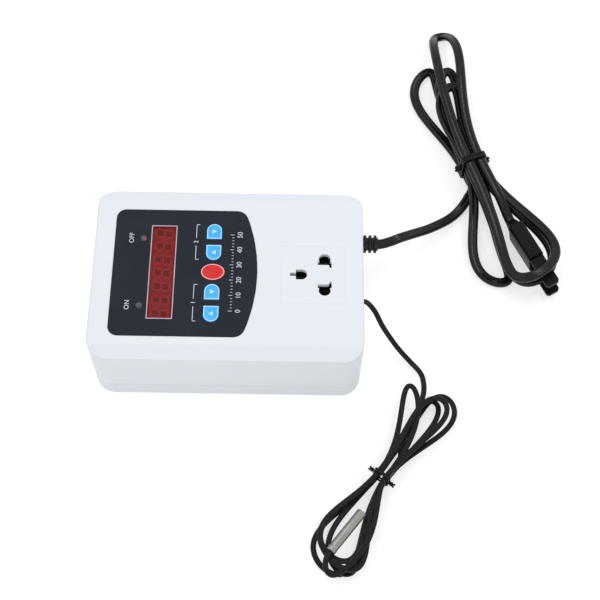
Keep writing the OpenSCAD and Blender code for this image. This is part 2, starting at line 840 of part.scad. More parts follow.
// Flat ribbon between the two boards with a header at each end
module ribbon_cable() {
  color("#8C9097") translate([ribbon_x, ribbon_y, 0]) {
    translate([-ribbon_thick / 2, -ribbon_wide / 2, power_board_top])
      cube([ribbon_thick, ribbon_wide, board_under - power_board_top]);
    for (z = [power_board_top, board_under - lead_pitch]) translate([0, 0, z + lead_pitch / 2])
      cube([lead_pitch, ribbon_wide + lead_pitch, lead_pitch], center = true);
  }
}

// Ribbed grip around the mains cord where it leaves the case
module cord_grip() {
  color("#2A2B2D") translate([case_length / 2, mains_exit_y, cord_exit_high])
    rotate([0, 90, 0]) difference() {
      union() {
        translate([0, 0, -wall - relief_inner_thick])
          cylinder(relief_inner_thick, relief_inner_radius, relief_inner_radius);
        translate([0, 0, -wall]) cylinder(wall, relief_wall_radius, relief_wall_radius);
        cylinder(relief_flange_thick, relief_flange_radius, relief_flange_radius);
        cylinder(relief_long, relief_core_radius, relief_core_radius);
        for (z = relief_ribs) translate([0, 0, z - relief_rib_wide / 2])
          cylinder(relief_rib_wide, relief_rib_radius, relief_rib_radius);
      }
      translate([0, 0, -wall - relief_inner_thick - overrun])
        linear_extrude(relief_long + wall + relief_inner_thick + 2 * overrun)
          cord_shape(mains_width, mains_thick);
    }
}

module sensor_bush() {
  color("#2A2B2D") translate([case_length / 2, sensor_exit_y, cord_exit_high])
    rotate([0, 90, 0]) difference() {
      union() {
        translate([0, 0, -wall]) cylinder(wall + bush_proud, bush_radius, bush_radius);
        translate([0, 0, -wall - bush_inner_thick])
          cylinder(bush_inner_thick, bush_inner_radius, bush_inner_radius);
      }
      translate([0, 0, -wall - bush_inner_thick - overrun])
        linear_extrude(wall + bush_inner_thick + bush_proud + 2 * overrun)
          cord_shape(sensor_width, sensor_thick);
    }
}

// Points on a smooth curve through the given points
function smooth_path(p, steps) = concat([for (i = [0:len(p) - 2], k = [0:steps - 1])
  let (t = k / steps, a = i == 0 ? 2 * p[0] - p[1] : p[i - 1],
       d = i == len(p) - 2 ? 2 * p[i + 1] - p[i] : p[i + 2])
  0.5 * (2 * p[i] + (p[i + 1] - a) * t + (2 * a - 5 * p[i] + 4 * p[i + 1] - d) * t * t
    + (3 * p[i] - a - 3 * p[i + 1] + d) * t * t * t)], [p[len(p) - 1]]);

// Places the points of a hank, given along and across its axis, in the frame of the case
function placed(points, exit, hub, turn) = [for (p = points)
  [exit.x + hub.x - p.x * sin(turn) + p.y * cos(turn),
   exit.y + hub.y + p.x * cos(turn) + p.y * sin(turn), p.z]];

// Half loop between two waist crossings, side 1 beyond the waist and -1 before it
function half_loop(from, to, shape, side, floor, layer) = [for (k = [0:loop_steps - 1])
  let (t = 180 * k / loop_steps, s = sin(t), c = cos(t), ease = (1 - c) / 2,
       away = pow(s, shape[5]))
  [from.x + (to.x - from.x) * ease + side * shape[0] * s,
   from.y + (to.y - from.y) * ease + shape[1] * s * s - side * shape[2] * c * s * s
     + shape[3] * pow(2 * s * c, 2),
   (from.z + (to.z - from.z) * ease) * (1 - away) + (floor + layer * shape[4]) * away]];

// Curve between two points with the given directions, holding its height until late
function late_curve(from, from_way, to, to_way, steps) = [for (k = [0:steps])
  let (t = k / steps, reach = norm(to - from), fall = pow(t, 3),
       flat = (2 * t * t * t - 3 * t * t + 1) * from + (t * t * t - 2 * t * t + t) * reach * from_way
         + (3 * t * t - 2 * t * t * t) * to + (t * t * t - t * t) * reach * to_way)
  [flat.x, flat.y, from.z + (to.z - from.z) * (3 * fall * fall - 2 * fall * fall * fall)]];

function mains_crossing(side, layer) =
  [0, side * mains_lane, mains_floor + mains_tie_lift + layer * mains_layer];

function sensor_crossing(side, layer) =
  [0, side * sensor_lane, sensor_floor + sensor_tie_lift + layer * sensor_layer];

function mains_hank_points() = let (last = len(mains_loops_up) - 1) placed(concat(
  [mains_crossing(-1, 0) - [mains_run, 0, 0], mains_crossing(-1, 0) - [mains_run / 2, 0, 0]],
  [for (i = [0:last]) each concat(
    half_loop(mains_crossing(-1, i), mains_crossing(1, i), mains_loops_up[i], 1,
      mains_floor, mains_layer),
    i == last ? [] : half_loop(mains_crossing(1, i), mains_crossing(-1, i + 1),
      mains_loops_down[i], -1, mains_floor, mains_layer))],
  late_curve(mains_crossing(1, last), [-1, 0, 0],
    [plug_place.x, plug_place.y, plug_middle], [-cos(plug_turn), sin(plug_turn), 0],
    plug_leg_steps)), mains_exit, mains_hub, mains_turn);

function sensor_hank_points() = let (last = len(sensor_loops_up) - 1) placed(concat(
  [sensor_crossing(1, 0) + [sensor_run, 0, 0], sensor_crossing(1, 0) + [sensor_run / 2, 0, 0]],
  [for (i = [0:last]) each concat(
    half_loop(sensor_crossing(1, i), sensor_crossing(-1, i + 1), sensor_loops_down[i], -1,
      sensor_floor, sensor_layer),
    half_loop(sensor_crossing(-1, i + 1), sensor_crossing(1, i + 1), sensor_loops_up[i], 1,
      sensor_floor, sensor_layer))],
  half_loop(sensor_crossing(1, last + 1), [probe_place.x, probe_place.y, probe_middle],
    sensor_last_loop, -1, sensor_floor, sensor_layer),
  [[probe_place.x, probe_place.y, probe_middle]]), sensor_exit, sensor_hub, sensor_turn);

// Route of a free cord from inside the wall to the first point of its hank
function lead_points(exit, route, shares, floor, hank) =
  let (meet = hank[0], back = unit2(hank[0] - hank[1]) * cord_inside / 2)
  concat([exit - [cord_inside, 0, 0], exit - [cord_inside / 2, 0, 0]], smooth_path(
    concat([exit], [for (i = [0:len(route) - 1]) [exit.x + route[i].x, exit.y + route[i].y,
      floor + shares[i] * (exit.z - floor)]], [meet + back, meet]), route_steps));

// Flat cord swept along the points, its width kept level
module flat_cord(points, width, thick) {
  last = len(points) - 1;
  sides = 2 * len(cord_sides);
  core = (width - thick) / 2;
  outline = [for (half = [1, -1], a = cord_sides)
    [half * (core + thick / 2 * cos(a)), half * thick / 2 * sin(a)]];
  rings = [for (i = [0:last])
    let (way = unit2(points[min(i + 1, last)] - points[max(i - 1, 0)]),
         side = unit2(cross([0, 0, 1], way)), up = cross(way, side))
    each [for (o = outline) points[i] + o.x * side + o.y * up]];
  polyhedron(rings, concat(
    [[for (k = [0:sides - 1]) k]],
    [[for (k = [0:sides - 1]) last * sides + sides - 1 - k]],
    [for (i = [0:last - 1], k = [0:sides - 1])
      [i * sides + k, (i + 1) * sides + k, (i + 1) * sides + (k + 1) % sides]],
    [for (i = [0:last - 1], k = [0:sides - 1])
      [i * sides + k, (i + 1) * sides + (k + 1) % sides, i * sides + (k + 1) % sides]]));
}

// Least gap between strands of a hank, the width of the cord squeezed to its thickness
function nearest(p, a, b) = let (d = b - a, t = max(0, min(1, (p - a) * d / (d * d))))
  norm(p - a - t * d);

function least_gap(points, width, thick, apart) =
  let (q = [for (p = points) [p.x * thick / width, p.y * thick / width, p.z]])
  min([for (i = [0:len(q) - 1], j = [i + apart:1:len(q) - 2]) nearest(q[i], q[j], q[j + 1])])
    - thick;

module mains_lead() {
  color("#232427") flat_cord(lead_points(mains_exit, mains_route, mains_route_shares,
    mains_floor, mains_hank_points()), mains_width, mains_thick);
}

module mains_hank() {
  echo(least_gap_of_mains_hank = least_gap(mains_hank_points(), mains_width, mains_thick, 4));
  color("#232427") flat_cord(mains_hank_points(), mains_width, mains_thick);
}

module sensor_lead() {
  color("#232427") flat_cord(lead_points(sensor_exit, sensor_route, sensor_route_shares,
    sensor_floor, sensor_hank_points()), sensor_width, sensor_thick);
}

module sensor_hank() {
  echo(least_gap_of_sensor_hank = least_gap(sensor_hank_points(), sensor_width, sensor_thick, 4));
  color("#232427") flat_cord(sensor_hank_points(), sensor_width, sensor_thick);
}

// Moves to a waist and turns X along the hank
module at_hub(exit, hub, turn) {
  translate([exit.x + hub.x, exit.y + hub.y, 0]) rotate([0, 0, turn + 90]) children();
}

// Tie around a waist with a twisted end at each side
module tie(lane, width, thick, layers, layer, floor, lift, band, band_thick, knot) {
  low = floor + lift - thick / 2 - tie_play;
  high = floor + lift + layer * (layers - 1) + thick / 2 + tie_play;
  half = lane + width / 2 + tie_play;
  rotate([90, 0, 90]) linear_extrude(band, center = true) difference() {
    translate([-half - band_thick, low - band_thick])
      square([2 * (half + band_thick), high - low + 2 * band_thick]);
    translate([-half, low]) square([2 * half, high - low]);
  }
  for (side = [-1, 1]) translate([0, side * (half + band_thick + knot_long / 2), (low + high) / 2])
    rotate([90, 0, 0]) cylinder(knot_long, knot, knot, center = true);
}

module mains_tie() {
  color("#1E1F21") at_hub(mains_exit, mains_hub, mains_turn)
    tie(mains_lane, mains_width, mains_thick, len(mains_loops_up), mains_layer, mains_floor,
      mains_tie_lift, tie_wide, tie_thick, knot_radius);
}

module sensor_tie() {
  color("#1E1F21") at_hub(sensor_exit, sensor_hub, sensor_turn)
    tie(sensor_lane, sensor_width, sensor_thick, len(sensor_loops_up) + 1, sensor_layer,
      sensor_floor, sensor_tie_lift, sensor_tie_thick, sensor_tie_thick, sensor_knot_radius);
}

// Plug leaning a little from its edge, X along its blades
module at_plug() {
  at_hub(mains_exit, mains_hub, mains_turn)
    translate([plug_place.x, -plug_place.y, plug_middle])
      rotate([0, 0, 180 + plug_turn]) rotate([plug_lean, 0, 0]) children();
}

module plug_body() {
  color("#232427") at_plug() {
    hull() {
      rotate([90, 0, 90]) linear_extrude(plug_neck_round / 2) rotate([0, 0, 90])
        cord_shape(mains_width, mains_thick);
      translate([plug_neck_long, 0, 0]) rotate([90, 0, 90])
        linear_extrude(plug_neck_round / 2) rounded_shape(
          [plug_body_thick - plug_neck_round, plug_body_high - 2 * plug_neck_round],
          plug_body_round);
    }
    translate([plug_neck_long, 0, 0]) rotate([90, 0, 90]) linear_extrude(plug_body_long)
      rounded_shape([plug_body_thick, plug_body_high], plug_body_round);
  }
}

module plug_blades() {
  color("#C8B27A") at_plug() for (side = [-1, 1])
    translate([plug_neck_long + plug_body_long, -blade_wide / 2,
        side * blade_pitch / 2 - blade_thick / 2])
      cube([blade_long, blade_wide, blade_thick]);
}

// Soft sleeves that protect the blades
module pin_cover() {
  length = blade_long + cover_end;
  half = cover_wide / 2;
  color("#2B2C2F") at_plug() for (side = [-1, 1])
    translate([plug_neck_long + plug_body_long, 0, side * blade_pitch / 2]) difference() {
      linear_extrude(cover_thick, center = true)
        polygon([[0, -half], [length - cover_chamfer, -half], [length, cover_chamfer - half],
                 [length, half - cover_chamfer], [length - cover_chamfer, half], [0, half]]);
      translate([-overrun, -blade_wide / 2, -blade_thick / 2])
        cube([blade_long + overrun, blade_wide, blade_thick]);
    }
}

module probe() {
  color("#B9BCC1") at_hub(sensor_exit, sensor_hub, sensor_turn)
    translate([probe_place.x, -probe_place.y, probe_middle]) rotate([0, 90, 0]) {
      cylinder(probe_length - probe_round, probe_radius, probe_radius);
      translate([0, 0, probe_length - probe_round])
        cylinder(probe_round, probe_radius, probe_radius - probe_round);
    }
}

top_cover();
base_tray();
cover_screws();
front_label();
display_window();
display_left();
display_middle();
display_right();
control_board();
board_screws();
lamp_start();
lamp_stop();
key_start_up();
key_start_down();
key_set();
key_stop_up();
key_stop_down();
key_switches();
outlet_body();
outlet_back();
contact_live();
contact_neutral();
contact_earth();
power_board();
power_board_screws();
transformer();
relay();
capacitors();
varistor();
fuse();
terminal_block();
sensor_connector();
ribbon_cable();
cord_grip();
sensor_bush();
mains_lead();
mains_hank();
mains_tie();
plug_body();
plug_blades();
pin_cover();
sensor_lead();
sensor_hank();
sensor_tie();
probe();
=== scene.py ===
# Plug in temperature controller with a mains cord, an outlet and a sensor probe.
# Lengths are in millimetres, unless a note says otherwise, and are made metres in the meshes.
import math

import bpy
import bmesh
import numpy as np
from mathutils import Matrix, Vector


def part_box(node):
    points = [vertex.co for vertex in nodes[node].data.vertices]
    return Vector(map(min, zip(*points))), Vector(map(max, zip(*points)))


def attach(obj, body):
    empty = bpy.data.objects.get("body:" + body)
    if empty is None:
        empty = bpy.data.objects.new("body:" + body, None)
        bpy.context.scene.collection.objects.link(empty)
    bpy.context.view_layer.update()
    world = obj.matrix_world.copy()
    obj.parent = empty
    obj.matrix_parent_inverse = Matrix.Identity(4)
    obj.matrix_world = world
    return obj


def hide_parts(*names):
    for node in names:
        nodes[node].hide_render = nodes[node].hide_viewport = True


print("loading the frame")
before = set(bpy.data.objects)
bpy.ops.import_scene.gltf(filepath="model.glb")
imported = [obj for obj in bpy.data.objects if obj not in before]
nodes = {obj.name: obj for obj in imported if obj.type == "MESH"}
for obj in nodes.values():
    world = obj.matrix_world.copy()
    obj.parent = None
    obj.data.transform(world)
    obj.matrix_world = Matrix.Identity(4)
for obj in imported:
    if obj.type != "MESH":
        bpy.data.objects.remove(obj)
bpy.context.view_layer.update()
mm = 0.001


def boxOf(node):
    low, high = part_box(node)
    return np.array(low) / mm, np.array(high) / mm


# Camera, fitted to the photograph
cameraFit = {
    "target": (36.77, 7.26, 0.0), "elevation": 63.479, "azimuth": -1.461, "roll": 2.251,
    "distance": 656.96, "sensor": 36.0, "clip": (0.01, 20),
    "focalShare": 1223.27 / 600,  # focal length as a share of the picture's width
}


def unit(v):
    v = np.asarray(v, float)
    return v / np.linalg.norm(v, axis=-1, keepdims=True)


def newObject(name, data):
    obj = bpy.data.objects.new(name, data)
    bpy.context.scene.collection.objects.link(obj)
    return obj


def setAxes(obj, right, up, back, place):
    # Turns and places an object by its three axes and its place in metres.
    columns = np.column_stack([right, up, back, place])
    obj.matrix_world = Matrix(np.vstack([columns, [0, 0, 0, 1]]).tolist())


def placeCamera(fit):
    el, az, roll = (math.radians(fit[k]) for k in ("elevation", "azimuth", "roll"))
    back = np.array([math.sin(az) * math.cos(el), -math.cos(az) * math.cos(el), math.sin(el)])
    right = np.array([math.cos(az), math.sin(az), 0.0])
    up = np.cross(back, right)
    turnedRight = math.cos(roll) * right + math.sin(roll) * up
    turnedUp = -math.sin(roll) * right + math.cos(roll) * up
    place = (np.array(fit["target"]) + fit["distance"] * back) * mm
    data = bpy.data.cameras.new("photoCamera")
    data.sensor_width = fit["sensor"]
    data.lens = fit["focalShare"] * fit["sensor"]
    data.clip_start, data.clip_end = fit["clip"]
    camera = newObject("photoCamera", data)
    setAxes(camera, turnedRight, turnedUp, back, place)
    bpy.context.scene.camera = camera


placeCamera(cameraFit)
bpy.context.scene.view_settings.view_transform = "Standard"


# Meshes
def gridFaces(rings, around):
    # Quads between rings of points: ring i point k is i times around plus k.
    i, k = np.meshgrid(np.arange(rings - 1), np.arange(around), indexing="ij")
    n = (k + 1) % around
    a, b = i * around + k, i * around + n
    return np.stack([a, b, b + around, a + around], -1).reshape(-1, 4).tolist()


def tubeShell(rings):
    # Closed surface over a stack of rings, an array of rings by points by 3, capped at its ends.
    count, around = rings.shape[:2]
    faces = gridFaces(count, around)
    faces.append(list(range(around))[::-1])
    faces.append(list(range((count - 1) * around, count * around)))
    return rings.reshape(-1, 3), faces


def joinShells(shells):
    points, faces, first = [], [], 0
    for p, f in shells:
        points.append(p)
        faces += [[v + first for v in face] for face in f]
        first += len(p)
    return np.concatenate(points), faces


def newPiece(name, mesh, body="case"):
    piece = newObject(name, mesh)
    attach(piece, body)
    return piece


def paint(mesh, material):
    mesh.materials.clear()
    mesh.materials.append(material)


def makePiece(name, shell, material, body="case", softAngle=40):
    # New piece from points in millimetres and faces, riding on a body.
    points, faces = shell
    mesh = bpy.data.meshes.new(name)
    mesh.from_pydata((np.asarray(points) * mm).tolist(), [], faces)
    mesh.validate()
    paint(mesh, material)
    smoothMesh(mesh, softAngle)
    return newPiece(name, mesh, body)


def smoothMesh(mesh, softAngle):
    mesh.polygons.foreach_set("use_smooth", np.ones(len(mesh.polygons), bool))
    mesh.set_sharp_from_angle(angle=math.radians(softAngle))
    mesh.update()


def atHeight(outline, z):
    return np.column_stack([outline, np.full(len(outline), z)])


leastCosine = 0.3  # limits how far a sharp corner is moved in


def plateShell(outline, low, high, edge=0.0, steps=3):
    # Plate with the outline given as points by 2, its upper edge rounded by a quarter circle:
    # inset = edge (1 - cos a), height = high - edge (1 - sin a).
    outline = np.asarray(outline, float)
    ahead = unit(np.roll(outline, -1, 0) - outline)
    behind = unit(outline - np.roll(outline, 1, 0))
    normal = unit(ahead + behind) @ np.array([[0, -1], [1, 0]])
    spread = 1 / np.maximum(leastCosine, (unit(ahead + behind) * ahead).sum(1))[:, None]
    rings = [(0.0, low)]
    angles = np.linspace(0, math.pi / 2, steps + 1) if edge else [0.0]
    rings += [(edge * (1 - math.cos(a)), high - edge * (1 - math.sin(a))) for a in angles]
    return tubeShell(np.array([atHeight(outline - normal * spread * inset, z)
                               for inset, z in rings]))


def frameShell(outer, inner, low, high):
    # Flat ring between two outlines with the same number of points.
    rings = np.array([atHeight(outer, low), atHeight(outer, high), atHeight(inner, high),
                      atHeight(inner, low)])
    count = rings.shape[1]
    last = [[3 * count + k, 3 * count + (k + 1) % count, (k + 1) % count, k]
            for k in range(count)]
    return rings.reshape(-1, 3), gridFaces(4, count) + last


def roundedBox(width, height, radius, steps=5):
    # Outline of a rounded rectangle round the origin, anticlockwise.
    corners = [(1, -1, -90), (1, 1, 0), (-1, 1, 90), (-1, -1, 180)]
    points = []
    for sx, sy, start in corners:
        for a in np.radians(start + np.linspace(0, 90, steps + 1)):
            points.append((sx * (width / 2 - radius) + radius * math.cos(a),
                           sy * (height / 2 - radius) + radius * math.sin(a)))
    return np.array(points)


def latheShell(profile, around, origin, axis):
    # Surface of revolution: each profile point (distance along, radius) turned round the axis.
    profile = np.asarray(profile, float)
    axis = unit(axis)
    slant = [0.3, 0.2, 1.0]  # any way but the axis
    side = unit(np.cross(axis, slant))
    other = np.cross(axis, side)
    t = np.linspace(0, 2 * math.pi, around, endpoint=False)
    turn = np.cos(t)[:, None] * side + np.sin(t)[:, None] * other
    rings = (np.asarray(origin, float) + profile[:, 0, None, None] * axis
             + profile[:, 1, None, None] * turn[None])
    return tubeShell(rings)


mergeWithin = 2e-6  # metres, as the next two
levelWithin = 1e-6
splitWithin = 1e-7
topWithin = 0.02
flatWithin = math.radians(0.6)


def pieceName(node):
    # Name of the piece that stands in for a node, as plugBody for plug_body.
    first, *rest = node.split("_")
    return first + "".join(word.capitalize() for word in rest)


def cleanCopy(node, material, joinFlat=True, name=None):
    # Merged copy of a CAD node's mesh with its flat faces joined, which replaces the node.
    name = name or pieceName(node)
    mesh = nodes[node].data.copy()
    mesh.name = name
    paint(mesh, material)
    soft = bmesh.new()
    soft.from_mesh(mesh)
    bmesh.ops.remove_doubles(soft, verts=soft.verts, dist=mergeWithin)
    if joinFlat:
        bmesh.ops.dissolve_limit(soft, angle_limit=flatWithin, verts=soft.verts, edges=soft.edges)
    soft.to_mesh(mesh)
    soft.free()
    obj = newPiece(name, mesh)
    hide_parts(node)
    return obj


def anyEdge(a, b):
    return True


def topEdges(top):
    # Picks the edges that lie in the top face of a piece.
    return lambda a, b: min(a[2], b[2]) > top - topWithin


def roundEdges(obj, width, pick=anyEdge, segments=3, sharp=30):
    # Bevel on the edges sharper than the angle that pick allows, given both ends in millimetres.
    mesh = obj.data
    weights = mesh.attributes.new("bevel_weight_edge", "FLOAT", "EDGE")
    work = bmesh.new()
    work.from_mesh(mesh)
    values = np.zeros(len(mesh.edges), np.float32)
    for i, edge in enumerate(work.edges):
        if len(edge.link_faces) != 2 or edge.calc_face_angle(0) < math.radians(sharp):
            continue
        a, b = (np.array(v.co) / mm for v in edge.verts)
        values[i] = float(pick(a, b))
    work.free()
    weights.data.foreach_set("value", values)
    bevel = obj.modifiers.new("softEdges", "BEVEL")
    bevel.limit_method = "WEIGHT"
    bevel.width = width * mm
    bevel.segments = segments
    bevel.harden_normals = True
    smoothMesh(mesh, sharp)


# Materials
noiseLook = {"tone": (0.35, 0.65), "rough": (0.3, 0.7), "bump": 0.6}


def finish(name, color, shade, patch, rough, grain=3000, depth=0.002, metal=0.0, alpha=1.0,
           stretch=(1, 1, 1), specular=0.5):
    # Surface whose colour drifts between two tones with a wide noise, and whose roughness
    # and height follow a fine noise. patch and grain are how fine these noises are, and
    # depth is the height of the grain in millimetres.
    material = bpy.data.materials.new(name)
    material.use_nodes = True
    tree = material.node_tree
    shader = tree.nodes["Principled BSDF"]
    place = newNode(tree, "TexCoord")
    mapping = newNode(tree, "Mapping")
    setInputs(mapping, {"Scale": stretch})
    tree.links.new(place.outputs["Object"], mapping.inputs["Vector"])
    wide = noise(tree, mapping, patch, 3)
    fine = noise(tree, mapping, grain, 2)
    mix = mixColors(tree, color, shade, shader.inputs["Base Color"])
    spread(tree, wide, mix, *noiseLook["tone"], 0, 1)
    spread(tree, fine, shader.inputs["Roughness"], *noiseLook["rough"], *rough)
    bump = newNode(tree, "Bump")
    setInputs(bump, {"Strength": noiseLook["bump"], "Distance": depth * mm})
    tree.links.new(fine, bump.inputs["Height"])
    tree.links.new(bump.outputs["Normal"], shader.inputs["Normal"])
    setInputs(shader, {"Metallic": metal, "Alpha": alpha, "Specular IOR Level": specular})
    return material


def newNode(tree, kind):
    return tree.nodes.new("ShaderNode" + kind)


def setInputs(node, values):
    for key, value in values.items():
        node.inputs[key].default_value = value


def mixColors(tree, color, other, target):
    # Mix of two colours that feeds the target. Returns the socket that picks between them.
    mix = newNode(tree, "Mix")
    mix.data_type = "RGBA"
    setInputs(mix, {"A": (*color, 1), "B": (*other, 1)})
    tree.links.new(mix.outputs["Result"], target)
    return mix.inputs["Factor"]


def noise(tree, vector, scale, detail):
    node = newNode(tree, "TexNoise")
    setInputs(node, {"Scale": scale, "Detail": detail})
    tree.links.new(vector.outputs[0], node.inputs["Vector"])
    return node.outputs["Fac"]


def spread(tree, value, target, low, high, toLow, toHigh):
    node = newNode(tree, "MapRange")
    setInputs(node, {"From Min": low, "From Max": high, "To Min": toLow, "To Max": toHigh})
    tree.links.new(value, node.inputs["Value"])
    tree.links.new(node.outputs["Result"], target)


print("making the materials")
casePlastic = finish("casePlastic", (0.806, 0.832, 0.862), (0.79, 0.817, 0.848), 25, (0.36, 0.46), 2600,
                     0.006, specular=0.35)
trayPlastic = finish("trayPlastic", (0.796, 0.822, 0.855), (0.78, 0.807, 0.84), 25, (0.38, 0.48), 2600,
                     0.006, specular=0.35)
outletPlastic = finish("outletPlastic", (0.806, 0.832, 0.862), (0.794, 0.82, 0.852), 60, (0.3, 0.4),
                       1800, 0.004, specular=0.35)
# Black plastic of the key switches; the same black is also used as painted shade deep inside the
# outlet's openings.
chamberPlastic = finish("chamberPlastic", (0.007, 0.007, 0.009), (0.0063, 0.0063, 0.0081), 200,
                        (0.4, 0.6), 1500, 0.01, specular=0.15)
labelFilm = finish("labelFilm", (0.016, 0.02, 0.029), (0.02, 0.024, 0.034), 60, (0.38, 0.5), 5200, 0.004,
                   specular=0.09)
printPale = finish("printPale", (0.72, 0.74, 0.8), (0.62, 0.64, 0.7), 900, (0.4, 0.5), 4000)
borderPink = finish("borderPink", (0.6, 0.46, 0.49), (0.48, 0.34, 0.38), 700, (0.4, 0.5), 4000)
keyBlue = finish("keyBlue", (0.075, 0.5, 0.91), (0.06, 0.45, 0.87), 180, (0.3, 0.4), 3600, 0.004,
                 specular=0.25)
rimBlue = finish("rimBlue", (0.42, 0.7, 0.93), (0.55, 0.78, 0.95), 500, (0.35, 0.45), 4000)
keyRed = finish("keyRed", (0.74, 0.034, 0.03), (0.64, 0.024, 0.024), 200, (0.3, 0.4), 3600, 0.004,
                specular=0.2)
rimPink = finish("rimPink", (0.8, 0.62, 0.64), (0.7, 0.5, 0.52), 500, (0.35, 0.45), 4000)
redFilter = finish("redFilter", (0.3, 0.014, 0.018), (0.26, 0.012, 0.015), 120, (0.15, 0.22), 3000,
                   0.001, alpha=0.3, specular=0.12)
moduleFace = finish("moduleFace", (0.36, 0.062, 0.06), (0.3, 0.05, 0.05), 300, (0.4, 0.55), 3000, 0.004,
                    specular=0.1)
digitHollow = finish("digitHollow", (0.055, 0.04, 0.022), (0.045, 0.032, 0.018), 300, (0.4, 0.5),
                     specular=0.1)
segmentRed = finish("segmentRed", (0.52, 0.085, 0.085), (0.46, 0.07, 0.07), 400, (0.25, 0.35),
                    specular=0.1)
lampRed = finish("lampRed", (0.2, 0.15, 0.16), (0.16, 0.12, 0.13), 300, (0.1, 0.16), 2000, 0.001,
                 alpha=0.3)
lampClear = finish("lampClear", (0.2, 0.2, 0.22), (0.16, 0.16, 0.18), 300, (0.1, 0.16), 2000, 0.001,
                   alpha=0.3)
chipRed = finish("chipRed", (0.86, 0.075, 0.065), (0.76, 0.06, 0.052), 600, (0.3, 0.4))
chipDark = finish("chipDark", (0.035, 0.035, 0.04), (0.028, 0.028, 0.032), 600, (0.4, 0.5))
lampWall = finish("lampWall", (0.16, 0.16, 0.17), (0.12, 0.12, 0.13), 600, (0.35, 0.5))
cordBlack = finish("cordBlack", (0.0042, 0.0046, 0.0062), (0.0065, 0.007, 0.009), 120, (0.16, 0.25),
                   1500, 0.005, specular=0.22)
sensorBlack = finish("sensorBlack", (0.0042, 0.0046, 0.006), (0.0065, 0.007, 0.0085), 160, (0.2, 0.3),
                     2200, 0.003, specular=0.18)
plugBlack = finish("plugBlack", (0.0036, 0.004, 0.005), (0.005, 0.0055, 0.007), 90, (0.34, 0.46), 1900,
                   0.008, specular=0.1)
gripBlack = finish("gripBlack", (0.0055, 0.006, 0.007), (0.009, 0.0095, 0.011), 150, (0.26, 0.36), 1900,
                   0.006, specular=0.24)
tieBlack = finish("tieBlack", (0.005, 0.005, 0.006), (0.008, 0.008, 0.009), 400, (0.25, 0.36), 2500,
                  0.006, specular=0.2)
zincSteel = finish("zincSteel", (0.56, 0.57, 0.6), (0.42, 0.43, 0.47), 500, (0.25, 0.4), 2500, 0.006,
                   metal=1.0)
brass = finish("brass", (0.28, 0.21, 0.11), (0.21, 0.155, 0.08), 350, (0.3, 0.42), 2500, 0.004,
               metal=1.0)
bladeBrass = finish("bladeBrass", (0.74, 0.6, 0.36), (0.62, 0.48, 0.27), 300, (0.2, 0.3), 2500, 0.003,
                    metal=1.0)
probeSteel = finish("probeSteel", (0.34, 0.34, 0.322), (0.27, 0.27, 0.255), 140, (0.2, 0.28), 2600,
                    0.0012, metal=1.0)
coreSteel = finish("coreSteel", (0.12, 0.12, 0.13), (0.08, 0.08, 0.09), 200, (0.4, 0.6), 1800, 0.02,
                   metal=0.7)
relayBlue = finish("relayBlue", (0.03, 0.09, 0.3), (0.025, 0.075, 0.26), 100, (0.3, 0.4), 2000, 0.006)
sleeveBlack = finish("sleeveBlack", (0.02, 0.022, 0.04), (0.016, 0.018, 0.033), 200, (0.25, 0.35), 2000,
                     0.004)
varistorBlue = finish("varistorBlue", (0.03, 0.12, 0.4), (0.022, 0.09, 0.32), 300, (0.3, 0.45), 1500,
                      0.02)
fuseGlass = finish("fuseGlass", (0.78, 0.8, 0.82), (0.7, 0.72, 0.75), 300, (0.05, 0.1), 2000, 0.001,
                   alpha=0.45)
terminalGreen = finish("terminalGreen", (0.03, 0.2, 0.08), (0.024, 0.165, 0.065), 100, (0.35, 0.5), 2000,
                       0.008)
connectorWhite = finish("connectorWhite", (0.78, 0.76, 0.68), (0.7, 0.68, 0.6), 100, (0.35, 0.5), 2000,
                        0.008)
ribbonGrey = finish("ribbonGrey", (0.3, 0.31, 0.33), (0.22, 0.23, 0.25), 100, (0.4, 0.55), 1500, 0.01,
                    stretch=(1, 6, 0.2))


boardLook = {"track": 0.012, "soft": 0.2, "shadeShare": 0.86}


def boardFinish(name, mask, track, scale):
    # Solder mask over tracks, which lie between the bricks of a pattern.
    material = finish(name, mask, mask, 120, (0.3, 0.42), 2500, 0.004)
    tree = material.node_tree
    shader = tree.nodes["Principled BSDF"]
    cells = newNode(tree, "TexBrick")
    shade = [c * boardLook["shadeShare"] for c in mask]
    setInputs(cells, {"Scale": scale, "Mortar Size": boardLook["track"],
                      "Mortar Smooth": boardLook["soft"], "Color1": (*mask, 1),
                      "Color2": (*shade, 1), "Mortar": (*track, 1)})
    place = next(n for n in tree.nodes if n.type == "MAPPING")
    tree.links.new(place.outputs[0], cells.inputs["Vector"])
    tree.links.new(cells.outputs["Color"], shader.inputs["Base Color"])
    return material


boardGreen = boardFinish("boardGreen", (0.012, 0.13, 0.045), (0.03, 0.24, 0.09), 70)
boardTan = boardFinish("boardTan", (0.42, 0.26, 0.08), (0.50, 0.34, 0.13), 60)


# Cords: the routes of part.scad in millimetres
def smoothPath(points, steps):
    # Cubic curve through the points, from b to c of each four a, b, c and d:
    # half of 2b + (c - a) t + (2a - 5b + 4c - d) t2 + (3b - a - 3c + d) t3.
    p = np.asarray(points, float)
    p = np.vstack([2 * p[0] - p[1], p, 2 * p[-1] - p[-2]])
    t = np.arange(steps)[:, None] / steps
    pieces = [0.5 * (2 * p[i] + (p[i + 1] - p[i - 1]) * t
                     + (2 * p[i - 1] - 5 * p[i] + 4 * p[i + 1] - p[i + 2]) * t ** 2
                     + (3 * p[i] - p[i - 1] - 3 * p[i + 1] + p[i + 2]) * t ** 3)
              for i in range(1, len(p) - 2)]
    return np.vstack(pieces + [p[-2]])


